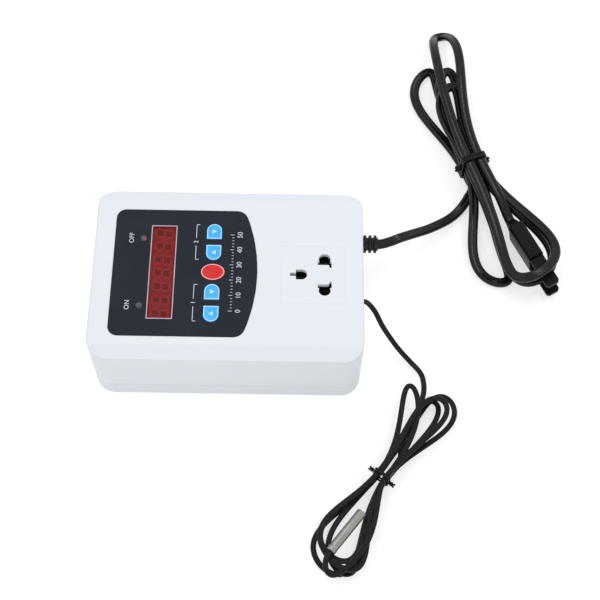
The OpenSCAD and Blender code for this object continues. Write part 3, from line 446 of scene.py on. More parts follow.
def halfLoop(start, end, shape, side, floor, layer, steps):
    # Half a loop between two waist crossings. With s and c the sine and cosine of the angle,
    # ease = (1 - c) / 2 and away = s to a power: along = ease + side reach s,
    # across = ease + shift s2 - side spread c s2 + skew (2 s c)2, height = waist (1 - away)
    # + level away.
    reach, shift, spreadOut, skew, level, power = shape
    t = math.pi * np.arange(steps) / steps
    s, c = np.sin(t), np.cos(t)
    ease, away = (1 - c) / 2, s ** power
    along = start[0] + (end[0] - start[0]) * ease + side * reach * s
    across = (start[1] + (end[1] - start[1]) * ease + shift * s * s
              - side * spreadOut * c * s * s + skew * (2 * s * c) ** 2)
    height = (start[2] + (end[2] - start[2]) * ease) * (1 - away) + (floor + layer * level) * away
    return np.column_stack([along, across, height])


def lateCurve(start, startWay, end, endWay, steps):
    # Cubic curve seen from above, with a given way at each end. Its height falls with the
    # smooth step of t cubed.
    start, startWay, end, endWay = (np.asarray(v, float) for v in (start, startWay, end, endWay))
    t = np.linspace(0, 1, steps + 1)[:, None]
    reach = np.linalg.norm(end - start)
    flat = ((2 * t ** 3 - 3 * t ** 2 + 1) * start + (t ** 3 - 2 * t ** 2 + t) * reach * startWay
            + (3 * t ** 2 - 2 * t ** 3) * end + (t ** 3 - t ** 2) * reach * endWay)
    fall = t ** 3
    flat[:, 2:] = start[2] + (end[2] - start[2]) * (3 * fall ** 2 - 2 * fall ** 3)
    return flat


def placedAt(points, cord):
    # Points along and across a hank, turned and moved to its waist.
    turn = math.radians(cord["turn"])
    a, b = points[:, 0], points[:, 1]
    x, y = np.array(cord["exit"])[:2] + cord["hub"]
    return np.column_stack([x - a * math.sin(turn) + b * math.cos(turn),
                            y + a * math.cos(turn) + b * math.sin(turn), points[:, 2]])


mainsCord = {
    "exit": (68.0, 30.0, 22.0),
    "width": 5.4, "thick": 3.7, "floorGap": 0.1,
    "route": [(10, 0), (16, 1.8), (22, 5), (29, 9.6), (39, 16.8), (50.5, 26.4), (57.6, 34.4),
              (62.6, 42.6)],
    "shares": [1, 0.995, 0.94, 0.75, 0.43, 0.13, 0.03, 0.01],
    "hub": (64.4, 59.2), "turn": 20.0, "firstLane": -1,
    "loops": [(72, 3, 14, -6, 0, 2), (71, -10, 16, -7, 0, 2), (66, 12, 9, 0, 1.05, 2),
              (78.3, 3, 29.6, 4.7, 1.53, 4.5), (52, 8, 10, -2, 2.2, 2),
              (81.4, -3, 33, 6.8, 5.07, 4), (94, 19, 13, 3, 0, 7)],
    "laneGap": 1.0, "layerGap": 0.55, "lift": 1.3, "run": 6.0,
    "plug": (-41.0, 5.15, 10.1), "plugTurn": 6.3,
    "groove": 0.26, "grooveWide": 0.9, "ring": 1.2, "around": 36,
}
sensorCord = {
    "exit": (68.0, -4.4, 22.0),
    "width": 2.8, "thick": 1.5, "floorGap": 0.1,
    "route": [(3, 0), (7.3, -4.2), (11.8, -11), (19.1, -18.3), (25.5, -23.8), (31.6, -29.8),
              (33.4, -35.2), (33.1, -42.2), (30, -51), (25.5, -62), (20.8, -73)],
    "shares": [1, 0.905, 0.69, 0.34, 0.125, 0.02, 0, 0, 0, 0.01, 0.02],
    "hub": (10.2, -88.6), "turn": -38.3, "firstLane": 1,
    "loops": [(53, 6, 26, 0, 0, 2), (50, -3, 10, 0, 1, 2), (50, 12, 20, 0, 1.1, 2),
              (55, 1, 17, 2, 2, 2), (47, 5, 24, 0, 2.2, 2), (48, -17, 9, 0, 3.1, 2),
              (49, 9, 30, 0, 3.2, 2), (51, 0, 14, 0, 4, 2)],
    "last": (22, 12, 4, 2, 4.5, 2),
    "laneGap": 1.6, "layerGap": 0.5, "lift": 1.0, "run": 8.0,
    "probe": (-46.7, 4.1, 10.7),
    "groove": 0.3, "grooveWide": 0.4, "ring": 1.1, "around": 28,
}
insideWall = 10.0  # length of cord kept inside the wall
loopSteps = 90
leadSteps = 24
endPower, endReach = 0.8, 2.2  # how the points round a cord's ends are spaced


def crossing(cord, lane, layer):
    # Place in the waist of a loop's end: its lane is -1 or 1, its layer counts from 0.
    across = lane * (cord["width"] + cord["laneGap"]) / 2
    return np.array([0, across, cord["thick"] / 2 + cord["floorGap"] + cord["lift"]
                     + layer * (cord["thick"] + cord["layerGap"])])


def loopsOf(cord):
    # Loops in turn, each from its lane to the other one. A loop that leaves lane 1 ends a
    # layer higher. Gives the points, and where the last loop ends.
    floor, layerHigh = cord["thick"] / 2 + cord["floorGap"], cord["thick"] + cord["layerGap"]
    lane, layer = cord["firstLane"], 0
    start = crossing(cord, lane, layer)
    run = np.array([lane * cord["run"], 0, 0])
    pieces = [np.array([start + run, start + run / 2])]
    for shape in cord["loops"]:
        layer += lane > 0
        end = crossing(cord, -lane, layer)
        pieces.append(halfLoop(start, end, shape, -lane, floor, layerHigh, loopSteps))
        start, lane = end, -lane
    if "last" in cord:
        pieces.append(halfLoop(start, cord["probe"], cord["last"], -lane, floor, layerHigh, loopSteps))
    return pieces, start


def mainsHank(cord):
    pieces, end = loopsOf(cord)
    turn = math.radians(cord["plugTurn"])
    pieces.append(lateCurve(end, [-1, 0, 0], cord["plug"], [-math.cos(turn), math.sin(turn), 0],
                            loopSteps // 2))
    return placedAt(np.vstack(pieces), cord)


def sensorHank(cord):
    pieces, end = loopsOf(cord)
    return placedAt(np.vstack(pieces + [cord["probe"]]), cord)


def wholeRoute(cord, hank):
    # Route from inside the wall through the free stretch to the end of the hank, its points
    # spaced evenly.
    exitAt = np.array(cord["exit"])
    floor = cord["thick"] / 2 + cord["floorGap"]
    back = unit(hank[0] - hank[1]) * insideWall / 2
    free = [exitAt] + [np.array([exitAt[0] + x, exitAt[1] + y, floor + share * (exitAt[2] - floor)])
                       for (x, y), share in zip(cord["route"], cord["shares"])]
    lead = smoothPath(free + [hank[0] + back, hank[0]], leadSteps)
    route = np.vstack([[exitAt - [insideWall, 0, 0]], lead, hank[1:]])
    steps = np.linalg.norm(np.diff(route, axis=0), axis=1)
    length = np.concatenate([[0], np.cumsum(steps)])
    even = np.linspace(0, length[-1], int(length[-1] / cord["ring"]) + 1)
    return np.column_stack([np.interp(even, length, route[:, k]) for k in range(3)])


def cordOutline(cord):
    # Two round ends joined by flat faces, with a shallow groove along the middle: the height
    # is less by groove times exp of minus (x / grooveWide) squared.
    half, core = cord["thick"] / 2, (cord["width"] - cord["thick"]) / 2
    around = cord["around"]
    t = np.linspace(0, 2 * math.pi, around, endpoint=False) + math.pi / around
    bend = np.sign(np.cos(t)) * np.abs(np.cos(t)) ** endPower
    x = core * np.clip(endReach * np.cos(t), -1, 1) + half * bend
    y = half * np.sign(np.sin(t)) * np.sqrt(np.maximum(0, 1 - np.maximum(
        0, np.abs(x) - core) ** 2 / half ** 2))
    y *= 1 - cord["groove"] * np.exp(-(x / cord["grooveWide"]) ** 2)
    return np.column_stack([x, y])


def sweptCord(name, cord, route, material):
    # Cord's outline carried along its route, its width kept level.
    way = unit(np.gradient(route, axis=0))
    side = unit(np.cross([0, 0, 1.0], way))
    up = np.cross(way, side)
    outline = cordOutline(cord)
    rings = (route[:, None] + outline[None, :, 0, None] * side[:, None]
             + outline[None, :, 1, None] * up[:, None])
    return makePiece(name, tubeShell(rings), material, softAngle=80)


print("winding the cords")
mainsPath = wholeRoute(mainsCord, mainsHank(mainsCord))
sensorPath = wholeRoute(sensorCord, sensorHank(sensorCord))
mainsPiece = sweptCord("mainsCord", mainsCord, mainsPath, cordBlack)
sensorPiece = sweptCord("sensorCord", sensorCord, sensorPath, sensorBlack)
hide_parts("mains_lead", "mains_hank")
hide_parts("sensor_lead", "sensor_hank")


def pathLength(path):
    return float(np.linalg.norm(np.diff(path, axis=0), axis=1).sum())


print("cord lengths", round(pathLength(mainsPath)), round(pathLength(sensorPath)))


# Ties
def strandShell(path, radius, closed=False):
    # Round wire along a path, its rings square to the path.
    path = np.asarray(path, float)
    if closed:
        way = unit(np.roll(path, -1, 0) - np.roll(path, 1, 0))
    else:
        way = unit(np.gradient(path, axis=0))
    slant = [0.31, 0.17, 0.93]
    last = unit(np.cross(way[0], slant))
    side = []
    for w in way:
        last = unit(last - w * (last @ w))
        side.append(last)
    side = np.array(side)
    up = np.cross(way, side)
    around = 10
    t = np.linspace(0, 2 * math.pi, around, endpoint=False)
    rings = (path[:, None] + radius * (np.cos(t)[None, :, None] * side[:, None]
                                       + np.sin(t)[None, :, None] * up[:, None]))
    if not closed:
        return tubeShell(rings)
    faces = gridFaces(len(path), around)
    a = (len(path) - 1) * around
    shift = int(np.argmin(np.linalg.norm(rings[0] - rings[-1, 0], axis=1)))
    faces += [[a + k, a + (k + 1) % around, (k + 1 + shift) % around, (k + shift) % around]
              for k in range(around)]
    return rings.reshape(-1, 3), faces


def tieShell(cord, look):
    # Wire round the waist on a rounded rectangle, and two strands twisted at each side.
    lane = (cord["width"] + cord["laneGap"]) / 2
    layer = cord["thick"] + cord["layerGap"]
    waist = cord["thick"] / 2 + cord["floorGap"] + cord["lift"]
    r = look["wire"]
    low = waist - cord["thick"] / 2 - look["play"] - r
    high = waist + layer * (look["layers"] - 1) + cord["thick"] / 2 + look["play"] + r
    half = lane + cord["width"] / 2 + look["play"] + r
    outline = roundedBox(2 * half, high - low, look["corner"], 8)
    bow = np.linspace(0, 2 * math.pi, len(outline), endpoint=False)
    middle = (low + high) / 2
    shells = []
    for turn in range(look["turns"]):
        along = (turn - (look["turns"] - 1) / 2) * look["pitchShare"] * r
        path = np.column_stack([along + look["bowShare"] * r * np.sin(bow + turn),
                                outline[:, 0], outline[:, 1] + middle])
        shells.append(strandShell(path, r, closed=True))
    t = np.linspace(0, 1, 40)
    for side in (-1, 1):
        for phase in (0, math.pi):
            angle = phase + t * 2 * math.pi * look["twists"]
            wide = look["knot"] - look["knotWire"]
            path = np.column_stack([wide * np.cos(angle),
                                    side * (half + r * look["knotShare"] + t * look["tail"]),
                                    middle + wide * np.sin(angle)])
            shells.append(strandShell(path, look["knotWire"]))
    points, faces = joinShells(shells)
    return placedAt(points, cord), faces


def makeTie(node, cord, look):
    tie = makePiece(pieceName(node), tieShell(cord, look), tieBlack, softAngle=70)
    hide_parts(node)
    return tie


mainsTieLook = {"layers": 4, "wire": 0.6, "play": 0.12, "turns": 3, "pitchShare": 2.15,
                "bowShare": 0.35, "corner": 2.4, "knotShare": 0.3, "knot": 1.9, "knotWire": 0.95,
                "tail": 3.2, "twists": 0.8}
sensorTieLook = {**mainsTieLook, "layers": 5, "wire": 0.5, "play": 0.1, "turns": 2,
                 "corner": 1.2, "knot": 1.15, "knotWire": 0.52, "twists": 1.1}
mainsTie = makeTie("mains_tie", mainsCord, mainsTieLook)
sensorTie = makeTie("sensor_tie", sensorCord, sensorTieLook)

print("plug, probe and grip")
plugLook = {"edge": 0.7, "coverEdge": 0.35}
plugBody = cleanCopy("plug_body", plugBlack)
roundEdges(plugBody, plugLook["edge"])
pinCover = cleanCopy("pin_cover", plugBlack)
roundEdges(pinCover, plugLook["coverEdge"])


def probeShell(look):
    # Tube with a rounded tip and a rolled crimp near the cord.
    turn = math.radians(sensorCord["turn"])
    start = placedAt(np.array([sensorCord["probe"]]), sensorCord)[0]
    axis = np.array([-math.sin(turn), math.cos(turn), 0.0])
    r, long, edge, dip = look["radius"], look["long"], look["round"], look["dip"]
    profile = [(x, r - inset) for x, inset in look["start"]]
    for x in np.linspace(-look["crimpHalf"], look["crimpHalf"], 9):
        profile.append((look["crimp"] + x, r - dip * math.exp(-(x / look["crimpWide"]) ** 2)))
    profile.append((long - edge, r))
    for a in np.linspace(0, math.pi / 2, 6)[1:]:
        profile.append((long - edge * (1 - math.sin(a)), r - edge * (1 - math.cos(a))))
    profile.append((long, look["flatShare"] * r))
    return latheShell(profile, 48, start, axis)


probeLook = {"radius": 2.5, "long": 25.0, "round": 0.55,
             "start": [(0.05, 1.125), (0.05, 0.35), (0.15, 0.12), (0.4, 0)],
             "crimp": 3.0, "crimpHalf": 1.1, "crimpWide": 0.45, "dip": 0.14, "flatShare": 0.3}
probe = makePiece("probeTube", probeShell(probeLook), probeSteel, softAngle=35)
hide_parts("probe")

cordGrip = cleanCopy("cord_grip", gripBlack)
gripLook = {"edge": 0.4, "core": 3.2, "outside": 0.1}


def outsideRibs(a, b):
    # Edges of the grip's ribs outside the case, beyond its core.
    middle = (a + b) / 2 - np.array(mainsCord["exit"])
    return middle[0] > gripLook["outside"] and np.hypot(middle[1], middle[2]) > gripLook["core"]


roundEdges(cordGrip, gripLook["edge"], outsideRibs)
cleanCopy("sensor_bush", gripBlack)

print("case")
caseHigh = boxOf("top_cover")[1]
caseLook = {"crease": 2.0, "endShare": 0.45, "endDeep": 3, "band": 8, "bandDeep": 6,
            "foot": 0.6, "footHigh": 0.05, "footCorner": 8, "footSide": 1.5}


def coverOuter(a, b):
    # Outer edges of the cover: those of the sloped bands and the ends, not of holes.
    middle = (a + b) / 2
    if middle[2] < caseHigh[2] - caseLook["bandDeep"]:
        return 0
    if abs(middle[1]) > caseHigh[1] - caseLook["band"]:
        return 1
    return caseLook["endShare"] if abs(middle[0]) > caseHigh[0] - caseLook["endDeep"] else 0


def footEdge(a, b):
    # Edges round the underside of the tray, not those of its screw recesses.
    room = caseHigh - np.maximum(abs(a), abs(b))
    nearSide = room[0] < caseLook["footCorner"] or room[1] < caseLook["footSide"]
    return max(a[2], b[2]) < caseLook["footHigh"] and nearSide


roundEdges(cleanCopy("top_cover", casePlastic), caseLook["crease"], coverOuter, 5, 12)
roundEdges(cleanCopy("base_tray", trayPlastic), caseLook["foot"], footEdge, 3, 40)

outletBody = cleanCopy("outlet_body", outletPlastic, False)
# Second material of the outlet: black painted shade for the deep inside of its openings.
outletBody.data.materials.append(chamberPlastic)
outletLow, outletHigh = boxOf("outlet_body")
faceTop = outletHigh[2]
outletLook = {"edge": 0.2, "gap": 0.2, "corner": 0.5, "lineDeep": 0.1, "lineHigh": 1.0,
              "paleWall": 2.6, "wall": 3.2, "contactEdge": 0.12}


def splitLevel(obj, level):
    # Edges where a level plane crosses the mesh, so that a material can end there.
    work = bmesh.new()
    work.from_mesh(obj.data)
    parts = work.verts[:] + work.edges[:] + work.faces[:]
    bmesh.ops.bisect_plane(work, geom=parts, dist=splitWithin, plane_co=(0, 0, level * mm),
                           plane_no=(0, 0, 1))
    work.to_mesh(obj.data)
    work.free()


def paintChamber(obj, look):
    # Painted shade: faces inside the outlet below the pale walls of its openings get the black second
    # material, which stands in for the shade deep in the openings.
    level = faceTop - look["paleWall"]
    splitLevel(obj, level)
    low, high = outletLow[:2] + look["wall"], outletHigh[:2] - look["wall"]
    for face in obj.data.polygons:
        c = np.array(face.center) / mm
        if (low < c[:2]).all() and (c[:2] < high).all() and c[2] < level:
            face.material_index = 1


def outletLine(look):
    # Shallow floor of the line round the outlet's face, between it and the cover.
    middle = (outletLow + outletHigh)[:2] / 2
    side = outletHigh[1] - outletLow[1]
    outer = roundedBox(side + 2 * look["gap"], side + 2 * look["gap"], look["corner"] + look["gap"])
    return frameShell(outer + middle, roundedBox(side, side, look["corner"]) + middle,
                      faceTop - look["lineDeep"] - look["lineHigh"], faceTop - look["lineDeep"])


# Painted shade inside the outlet's openings, below their pale walls.
paintChamber(outletBody, outletLook)
roundEdges(outletBody, outletLook["edge"], topEdges(faceTop))
makePiece("outletLine", outletLine(outletLook), casePlastic)
for node in ("contact_live", "contact_neutral", "contact_earth"):
    roundEdges(cleanCopy(node, brass), outletLook["contactEdge"], anyEdge, 2, 40)

print("front panel")
labelLow, labelHigh = boxOf("front_label")
windowLow, windowHigh = boxOf("display_window")
panelTop = labelHigh[2]
panelY = (labelLow[1] + labelHigh[1]) / 2
labelLook = {"bulge": 94.0, "play": 0.05, "cuts": 5, "edge": 0.12}


def roundBulge(obj, look):
    # More points on the label's curved end, each moved out to the circle of its bulge.
    middle = np.array([labelHigh[0] - look["bulge"], panelY])
    work = bmesh.new()
    work.from_mesh(obj.data)

    def fromMiddle(vert):
        return np.array(vert.co[:2]) / mm - middle

    def onBulge(edge):
        a, b = edge.verts
        reach = min(np.linalg.norm(fromMiddle(a)), np.linalg.norm(fromMiddle(b)))
        return abs(a.co.z - b.co.z) < levelWithin and reach > look["bulge"] - look["play"]

    chords = [edge for edge in work.edges if onBulge(edge)]
    made = bmesh.ops.subdivide_edges(work, edges=chords, cuts=look["cuts"])
    for item in made["geom_inner"]:
        if isinstance(item, bmesh.types.BMVert):
            item.co.xy = (middle + unit(fromMiddle(item)) * look["bulge"]) * mm
    work.to_mesh(obj.data)
    work.free()


label = cleanCopy("front_label", labelFilm)
roundBulge(label, labelLook)
roundEdges(label, labelLook["edge"], topEdges(panelTop), 2, 40)
windowLook = {"seen": (11.9, 51.6), "border": 0.55, "corner": 0.25, "play": 0.1,
              "innerCorner": 0.1, "edge": 0.15, "sink": 0.01, "high": 0.04}
roundEdges(cleanCopy("display_window", redFilter), windowLook["edge"],
           topEdges(windowHigh[2]), 2, 40)
windowMiddle = (windowLow + windowHigh) / 2


def windowOutline(grow, corner):
    wide, long = (side + 2 * grow for side in windowLook["seen"])
    return roundedBox(wide, long, corner) + windowMiddle[:2]


border = frameShell(windowOutline(windowLook["border"], windowLook["corner"]),
                    windowOutline(windowLook["play"] / 2, windowLook["innerCorner"]),
                    panelTop - windowLook["sink"], panelTop + windowLook["high"])
makePiece("windowBorder", border, borderPink)

# Digits: each of seven segments is a bar with pointed ends, leaning with the digit
digitLook = {"wide": 4.3, "high": 8.4, "bar": 1.0, "gap": 0.12, "lean": 0.11, "dot": 0.5,
             "dotAway": 1.25, "thick": 0.05, "hollowInset": 0.64, "shift": -0.35,
             "sink": 0.01, "moduleEdge": 0.12}


def digitShells(look, middle, z):
    # Segments of one digit: digits read along +Y with their tops to -X.
    w, h, bar, gap = look["wide"] / 2, look["high"] / 2, look["bar"] / 2, look["gap"]
    ends = [((-w, h), (w, h)), ((-w, 0), (w, 0)), ((-w, -h), (w, -h)),
            ((-w, 0), (-w, h)), ((w, 0), (w, h)), ((-w, -h), (-w, 0)), ((w, -h), (w, 0))]
    shells = []
    for a, b in ends:
        a, b = np.array(a, float), np.array(b, float)
        way = unit(b - a)
        across = np.array([-way[1], way[0]])
        a, b = a + way * gap, b - way * gap
        shape = [a, a + way * bar - across * bar, b - way * bar - across * bar, b,
                 b - way * bar + across * bar, a + way * bar + across * bar]
        shells.append(printOutline(shape, look, middle, z))
    dot = [(w + look["dotAway"] + look["dot"] * math.cos(t), -h + look["dot"] * math.sin(t))
           for t in np.linspace(0, 2 * math.pi, 12, endpoint=False)]
    shells.append(printOutline(dot, look, middle, z))
    return shells


def hollowShells(look, middle, z):
    # The two darker fields that the segments of one digit enclose.
    w, inset = look["wide"] / 2 - look["hollowInset"], look["hollowInset"]
    h = look["high"] / 2
    fields = [[(-w, low + inset), (w, low + inset), (w, low + h - inset), (-w, low + h - inset)]
              for low in (0, -h)]
    return [printOutline(field, look, middle, z) for field in fields]


def printOutline(shape, look, middle, z):
    shape = np.array([(x + look["lean"] * y, y) for x, y in shape])
    flat = np.column_stack([middle[0] - shape[:, 1], middle[1] + shape[:, 0]])
    return plateShell(flat, z - look["sink"], z + look["thick"])


for place, count in (("left", 2), ("middle", 3), ("right", 2)):
    node, side = "display_" + place, place.capitalize()
    low, high = boxOf(node)
    module = cleanCopy(node, moduleFace, name="module" + side)
    roundEdges(module, digitLook["moduleEdge"], anyEdge, 2, 40)
    segments, hollows = [], []
    for i in range(count):
        middle = ((low[0] + high[0]) / 2,
                  low[1] + (i + 0.5) * (high[1] - low[1]) / count + digitLook["shift"])
        segments += digitShells(digitLook, middle, high[2])
        hollows += hollowShells(digitLook, middle, high[2])
    makePiece("digits" + side, joinShells(segments), segmentRed)
    makePiece("digits" + side + "Hollows", joinShells(hollows), digitHollow)

# Lamps: the clear lens of each node with a coloured chip in its cup
lampLook = {"cupDeep": 1.5, "cupHigh": 0.9, "cupRadius": 1.38, "wall": 0.4, "hole": 0.2,
            "chipRadius": 0.85, "chipHigh": 1.0, "chipShift": 0.3,
            "chipDome": [(0.4, 1), (0.1, 0.8), (0, 0.3)]}  # depths, and shares of the radius


def cupShell(look, middle, top):
    high, r, wall, hole = look["cupHigh"], look["cupRadius"], look["wall"], look["hole"]
    profile = [(0, hole), (0, r - wall), (high, r), (high, r - wall), (wall, hole)]
    return latheShell(profile, 32, (*middle[:2], top - look["cupDeep"]), (0, 0, 1))


def chipShell(look, middle, top):
    r = look["chipRadius"]
    profile = [(0, r)] + [(look["chipHigh"] - down, share * r) for down, share in look["chipDome"]]
    return latheShell(profile, 24, (middle[0] + look["chipShift"], middle[1], top - look["cupDeep"]),
                      (0, 0, 1))


for node, material, slotName, chip in (("lamp_start", lampRed, "lamp_red", chipRed),
                                       ("lamp_stop", lampClear, "lamp_clear", chipDark)):
    lens = cleanCopy(node, material)
    smoothMesh(lens.data, 40)
    low, high = boxOf(node)
    middle = (low + high) / 2
    makePiece(lens.name + "Cup", cupShell(lampLook, middle, high[2]), lampWall)
    makePiece(lens.name + "Chip", chipShell(lampLook, middle, high[2]), chip)


print("keys")
keyLook = {"width": 7.7, "length": 8.7, "edge": 0.2, "rim": 0.45, "rimStraight": 0.5,
           "flange": 0.7, "flangeHigh": 1.0, "flangeDown": 2.7, "flangeEdge": 0.1,
           "plunger": 1.7, "plungerEdge": 0.2, "plungerEnd": 0.3, "overlap": 0.2,
           "arrow": 1.35, "arrowFootShare": 0.75, "print": 0.015, "sink": 0.02}
setLook = {**keyLook, "width": 11.9, "length": 9.2, "rim": 0.42}


def blueOutline(look, grow, growStraight):
    # Outline of a blue key round its middle: straight edge at -Y, half circle at +Y.
    r = look["width"] / 2 + grow
    high = look["length"] / 2 - look["width"] / 2
    low = -look["length"] / 2 - growStraight
    arc = np.linspace(0, math.pi, 33)
    points = [(r * math.cos(a), high + r * math.sin(a)) for a in arc]
    side = np.linspace(high, low, 7)[1:]
    points += [(-r, y) for y in side]
    points += [(x, low) for x in np.linspace(-r, r, 9)[1:]]
    points += [(r, y) for y in side[::-1][1:]]
    return np.array(points)


def redOval(look, grow, growStraight):
    # Outline of the red key, called as that of the blue ones is.
    t = np.linspace(0, 2 * math.pi, 72, endpoint=False)
    return np.column_stack([(look["width"] / 2 + grow) * np.cos(t),
                            (look["length"] / 2 + grow) * np.sin(t)])


def makeKey(node, arrow, outlineOf, look, material, rimMaterial):
    # Cap with a rounded edge, the flange that holds it in and the plunger below, with the
    # printed rim and arrow on its face. The arrow points to +X for 1 and to -X for -1.
    low, high = boxOf(node)
    middle = (low + high) / 2
    name, edge = pieceName(node), look["edge"]
    plunger, plungerEdge = look["plunger"], look["plungerEdge"]
    flangeTop = caseHigh[2] - look["flangeDown"]
    flangeLow = flangeTop - look["flangeHigh"]
    printLow, printTop = high[2] - look["sink"], high[2] + look["print"]

    def placed(grow, growStraight):
        outline = outlineOf(look, grow, growStraight)
        return middle[:2] + (-outline if arrow < 0 else outline)

    shells = [
        plateShell(placed(0, 0), flangeTop - look["overlap"], high[2], edge, 3),
        plateShell(placed(look["flange"], look["flange"]), flangeLow, flangeTop,
                   look["flangeEdge"], 1),
        latheShell([(0, look["plungerEnd"]), (0, plunger - plungerEdge), (plungerEdge, plunger),
                    (flangeLow + look["flangeEdge"] - low[2], plunger)],
                   32, (*middle[:2], low[2]), (0, 0, 1)),
    ]
    key = makePiece(name, joinShells(shells), material, node, 30)
    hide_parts(node)
    inner = placed(-edge - look["rim"], -edge - look["rimStraight"])
    makePiece(name + "Rim", frameShell(placed(-edge, -edge), inner, printLow, printTop),
              rimMaterial, node)
    if arrow:
        tip = arrow * look["arrow"]
        foot = -look["arrowFootShare"] * tip
        shape = np.array([(tip, 0), (foot, tip), (foot, -tip)]) + middle[:2]
        makePiece(name + "Arrow", plateShell(shape, printLow, printTop), rimMaterial, node)
    return middle


keyMiddles = {}
for pair in ("key_start", "key_stop"):
    for way, arrow in (("_up", 1), ("_down", -1)):
        keyMiddles[pair + way] = makeKey(pair + way, arrow, blueOutline, keyLook, keyBlue, rimBlue)
makeKey("key_set", 0, redOval, setLook, keyRed, rimPink)


# Generic print on the label
printPlan = {"captionX": -49.2, "captionSize": 3.4, "groupX": -16.6, "numberSize": 3.2,
             "scaleX": 5.6, "scaleSize": 3.6, "scaleStep": 8.6, "line": 0.32, "markLine": 0.26,
             "longMark": 1.9, "shortMark": 1.0, "markAway": 3.0, "marksPerNumber": 5,
             "groupPast": 4, "groupGap": 2.2, "hook": 1.6, "hookBack": 0.15, "thick": 0.03, "sink": 0.01}


def printWords(name, words, size, place):
    # Plain characters that read along +Y with their tops to -X, centred on the place.
    curve = bpy.data.curves.new(name, "FONT")
    curve.body = words
    curve.size = size * mm
    curve.align_x, curve.align_y = "CENTER", "CENTER"
    curve.extrude = printPlan["thick"] / 2 * mm
    curve.resolution_u = 4
    source = newObject(name + "Curve", curve)
    bpy.context.view_layer.update()
    mesh = bpy.data.meshes.new_from_object(source.evaluated_get(bpy.context.evaluated_depsgraph_get()))
    bpy.data.objects.remove(source)
    mesh.transform(Matrix.Translation(np.array(place) * mm) @ Matrix.Rotation(math.pi / 2, 4, "Z"))
    mesh.update()
    mesh.name = name
    paint(mesh, printPale)
    newPiece(name, mesh)


def printBar(low, high, width):
    # Outline of a straight bar between two points.
    a, b = np.array(low, float), np.array(high, float)
    way = unit(b - a)
    across = np.array([-way[1], way[0]]) * width / 2
    return np.array([a - across, b - across, b + across, a + across])


inkLow, inkTop = panelTop - printPlan["sink"], panelTop + printPlan["thick"]
inkMiddle = (inkLow + inkTop) / 2
for node, words in (("lamp_start", "OFF"), ("lamp_stop", "ON")):
    low, high = boxOf(node)
    printWords("caption" + words.capitalize(), words, printPlan["captionSize"],
               (printPlan["captionX"], (low[1] + high[1]) / 2, inkMiddle))
bars = []
for number, pair in (("2", "key_start"), ("1", "key_stop")):
    ys = sorted(keyMiddles[pair + way][1] for way in ("_up", "_down"))
    low, high = ys[0] - printPlan["groupPast"], ys[1] + printPlan["groupPast"]
    x, middle, gap = printPlan["groupX"], (low + high) / 2, printPlan["groupGap"]
    start, end = x - printPlan["hookBack"], x + printPlan["hook"]
    for a, b in (((x, low), (x, middle - gap)), ((x, middle + gap), (x, high)),
                 ((start, low), (end, low)), ((start, high), (end, high))):
        bars.append(plateShell(printBar(a, b, printPlan["line"]), inkLow, inkTop))
    printWords("group" + number, number, printPlan["numberSize"], (x, middle, inkMiddle))
marks = range(0, 60, 10)
for i, mark in enumerate(marks):
    y = panelY + (i - (len(marks) - 1) / 2) * printPlan["scaleStep"]
    printWords("mark" + str(mark), str(mark), printPlan["scaleSize"],
               (printPlan["scaleX"], y, inkMiddle))
per = printPlan["marksPerNumber"]
for i in range(per * (len(marks) - 1) + 1):
    y = panelY + (i / per - (len(marks) - 1) / 2) * printPlan["scaleStep"]
    x = printPlan["scaleX"] - printPlan["markAway"]
    long = printPlan["shortMark"] if i % per else printPlan["longMark"]
    bars.append(plateShell(printBar((x - long, y), (x, y), printPlan["markLine"]), inkLow, inkTop))
makePiece("labelLines", joinShells(bars), printPale)

# Inner parts and screws, kept as they are with their finishes
print("inner parts")
kept = {
    "cover_screws": zincSteel, "board_screws": zincSteel, "power_board_screws": zincSteel,
    "control_board": boardGreen, "power_board": boardTan, "key_switches": chamberPlastic,
    "outlet_back": outletPlastic, "transformer": coreSteel, "relay": relayBlue,
    "capacitors": sleeveBlack, "varistor": varistorBlue, "fuse": fuseGlass,
    "terminal_block": terminalGreen, "sensor_connector": connectorWhite,
    "ribbon_cable": ribbonGrey, "plug_blades": bladeBrass,
}
for node, material in kept.items():
    paint(nodes[node].data, material)

print("floor and light")
studio = {  # places and sizes in metres
    "world": 0.77, "tint": (0.985, 1.0, 1.035),
    "floorSide": 6.0, "bounce": 0.85, "seenFloor": 0.5, "floorGlow": 0.62,
    "aim": (0.03, 0, 0), "lampUp": (0, 1, 0.2),
    "lamps": {  # width, length, place and power
        "keyLamp": (0.9, 0.9, (-0.5, 0.4, 1.5), 3.5),
        "fillLamp": (0.7, 0.7, (0.1, -1.3, 0.7), 2.1),
        "glintLamp": (0.14, 0.8, (0.75, 0.68, 1.2), 3.0),
    },
}


def mathNode(tree, operation, first, second):
    # Math node fed by a socket and by another socket or a number.
    node = newNode(tree, "Math")
    node.operation = operation
    tree.links.new(first, node.inputs[0])
    if isinstance(second, float):
        node.inputs[1].default_value = second
    else:
        tree.links.new(second, node.inputs[1])
    return node.outputs[0]


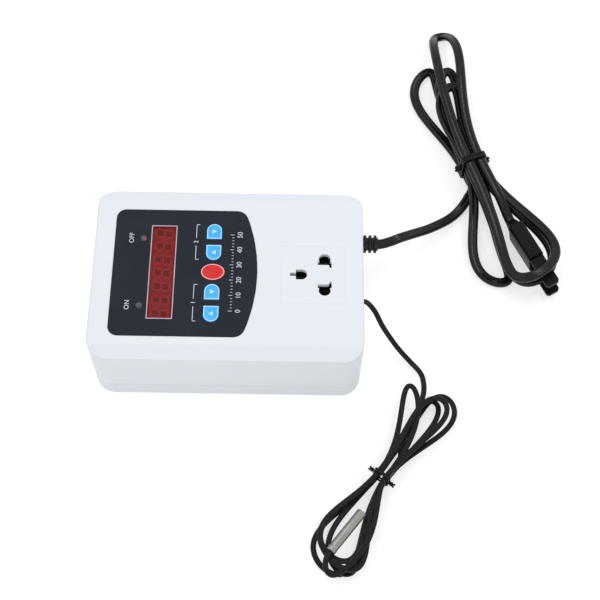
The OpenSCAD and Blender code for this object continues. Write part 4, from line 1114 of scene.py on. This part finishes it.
def seenRays(tree):
    # One where the surface is seen straight, in a reflection or through glass.
    path = newNode(tree, "LightPath")
    seen = mathNode(tree, "MAXIMUM", path.outputs["Is Camera Ray"], path.outputs["Is Glossy Ray"])
    return mathNode(tree, "MAXIMUM", seen, path.outputs["Is Transmission Ray"])


def makeFloor():
    half = studio["floorSide"] / 2
    mesh = bpy.data.meshes.new("floor")
    mesh.from_pydata([(-half, -half, 0), (half, -half, 0), (half, half, 0), (-half, half, 0)], [],
                     [(0, 1, 2, 3)])
    floor = newObject("floor", mesh)
    material = bpy.data.materials.new("floorPaper")
    material.use_nodes = True
    tree = material.node_tree
    tree.nodes.clear()
    output = newNode(tree, "OutputMaterial")
    diffuse = newNode(tree, "BsdfDiffuse")
    glow = newNode(tree, "Emission")
    add = newNode(tree, "AddShader")
    seen = seenRays(tree)
    spread(tree, seen, diffuse.inputs["Color"], 0, 1, studio["bounce"], studio["seenFloor"])
    tree.links.new(mathNode(tree, "MULTIPLY", seen, studio["floorGlow"]), glow.inputs["Strength"])
    tree.links.new(diffuse.outputs[0], add.inputs[0])
    tree.links.new(glow.outputs[0], add.inputs[1])
    tree.links.new(add.outputs[0], output.inputs["Surface"])
    mesh.materials.append(material)


def makeWorld():
    world = bpy.data.worlds.new("studioWorld")
    bpy.context.scene.world = world
    world.use_nodes = True
    tree = world.node_tree
    background = tree.nodes["Background"]
    seen = seenRays(tree)
    tree.links.new(seen, mixColors(tree, studio["tint"], (1, 1, 1), background.inputs["Color"]))
    spread(tree, seen, background.inputs["Strength"], 0, 1, studio["world"], 1.0)


def areaLamp(name, wide, long, place, power):
    data = bpy.data.lights.new(name, "AREA")
    data.shape = "RECTANGLE"
    data.size, data.size_y = wide, long
    data.energy = power
    back = unit(np.array(place) - np.array(studio["aim"]))
    right = unit(np.cross(studio["lampUp"], back))
    setAxes(newObject(name, data), right, np.cross(back, right), back, place)


makeFloor()
makeWorld()
for name, (wide, long, place, power) in studio["lamps"].items():
    areaLamp(name, wide, long, place, power)

print("finishing")
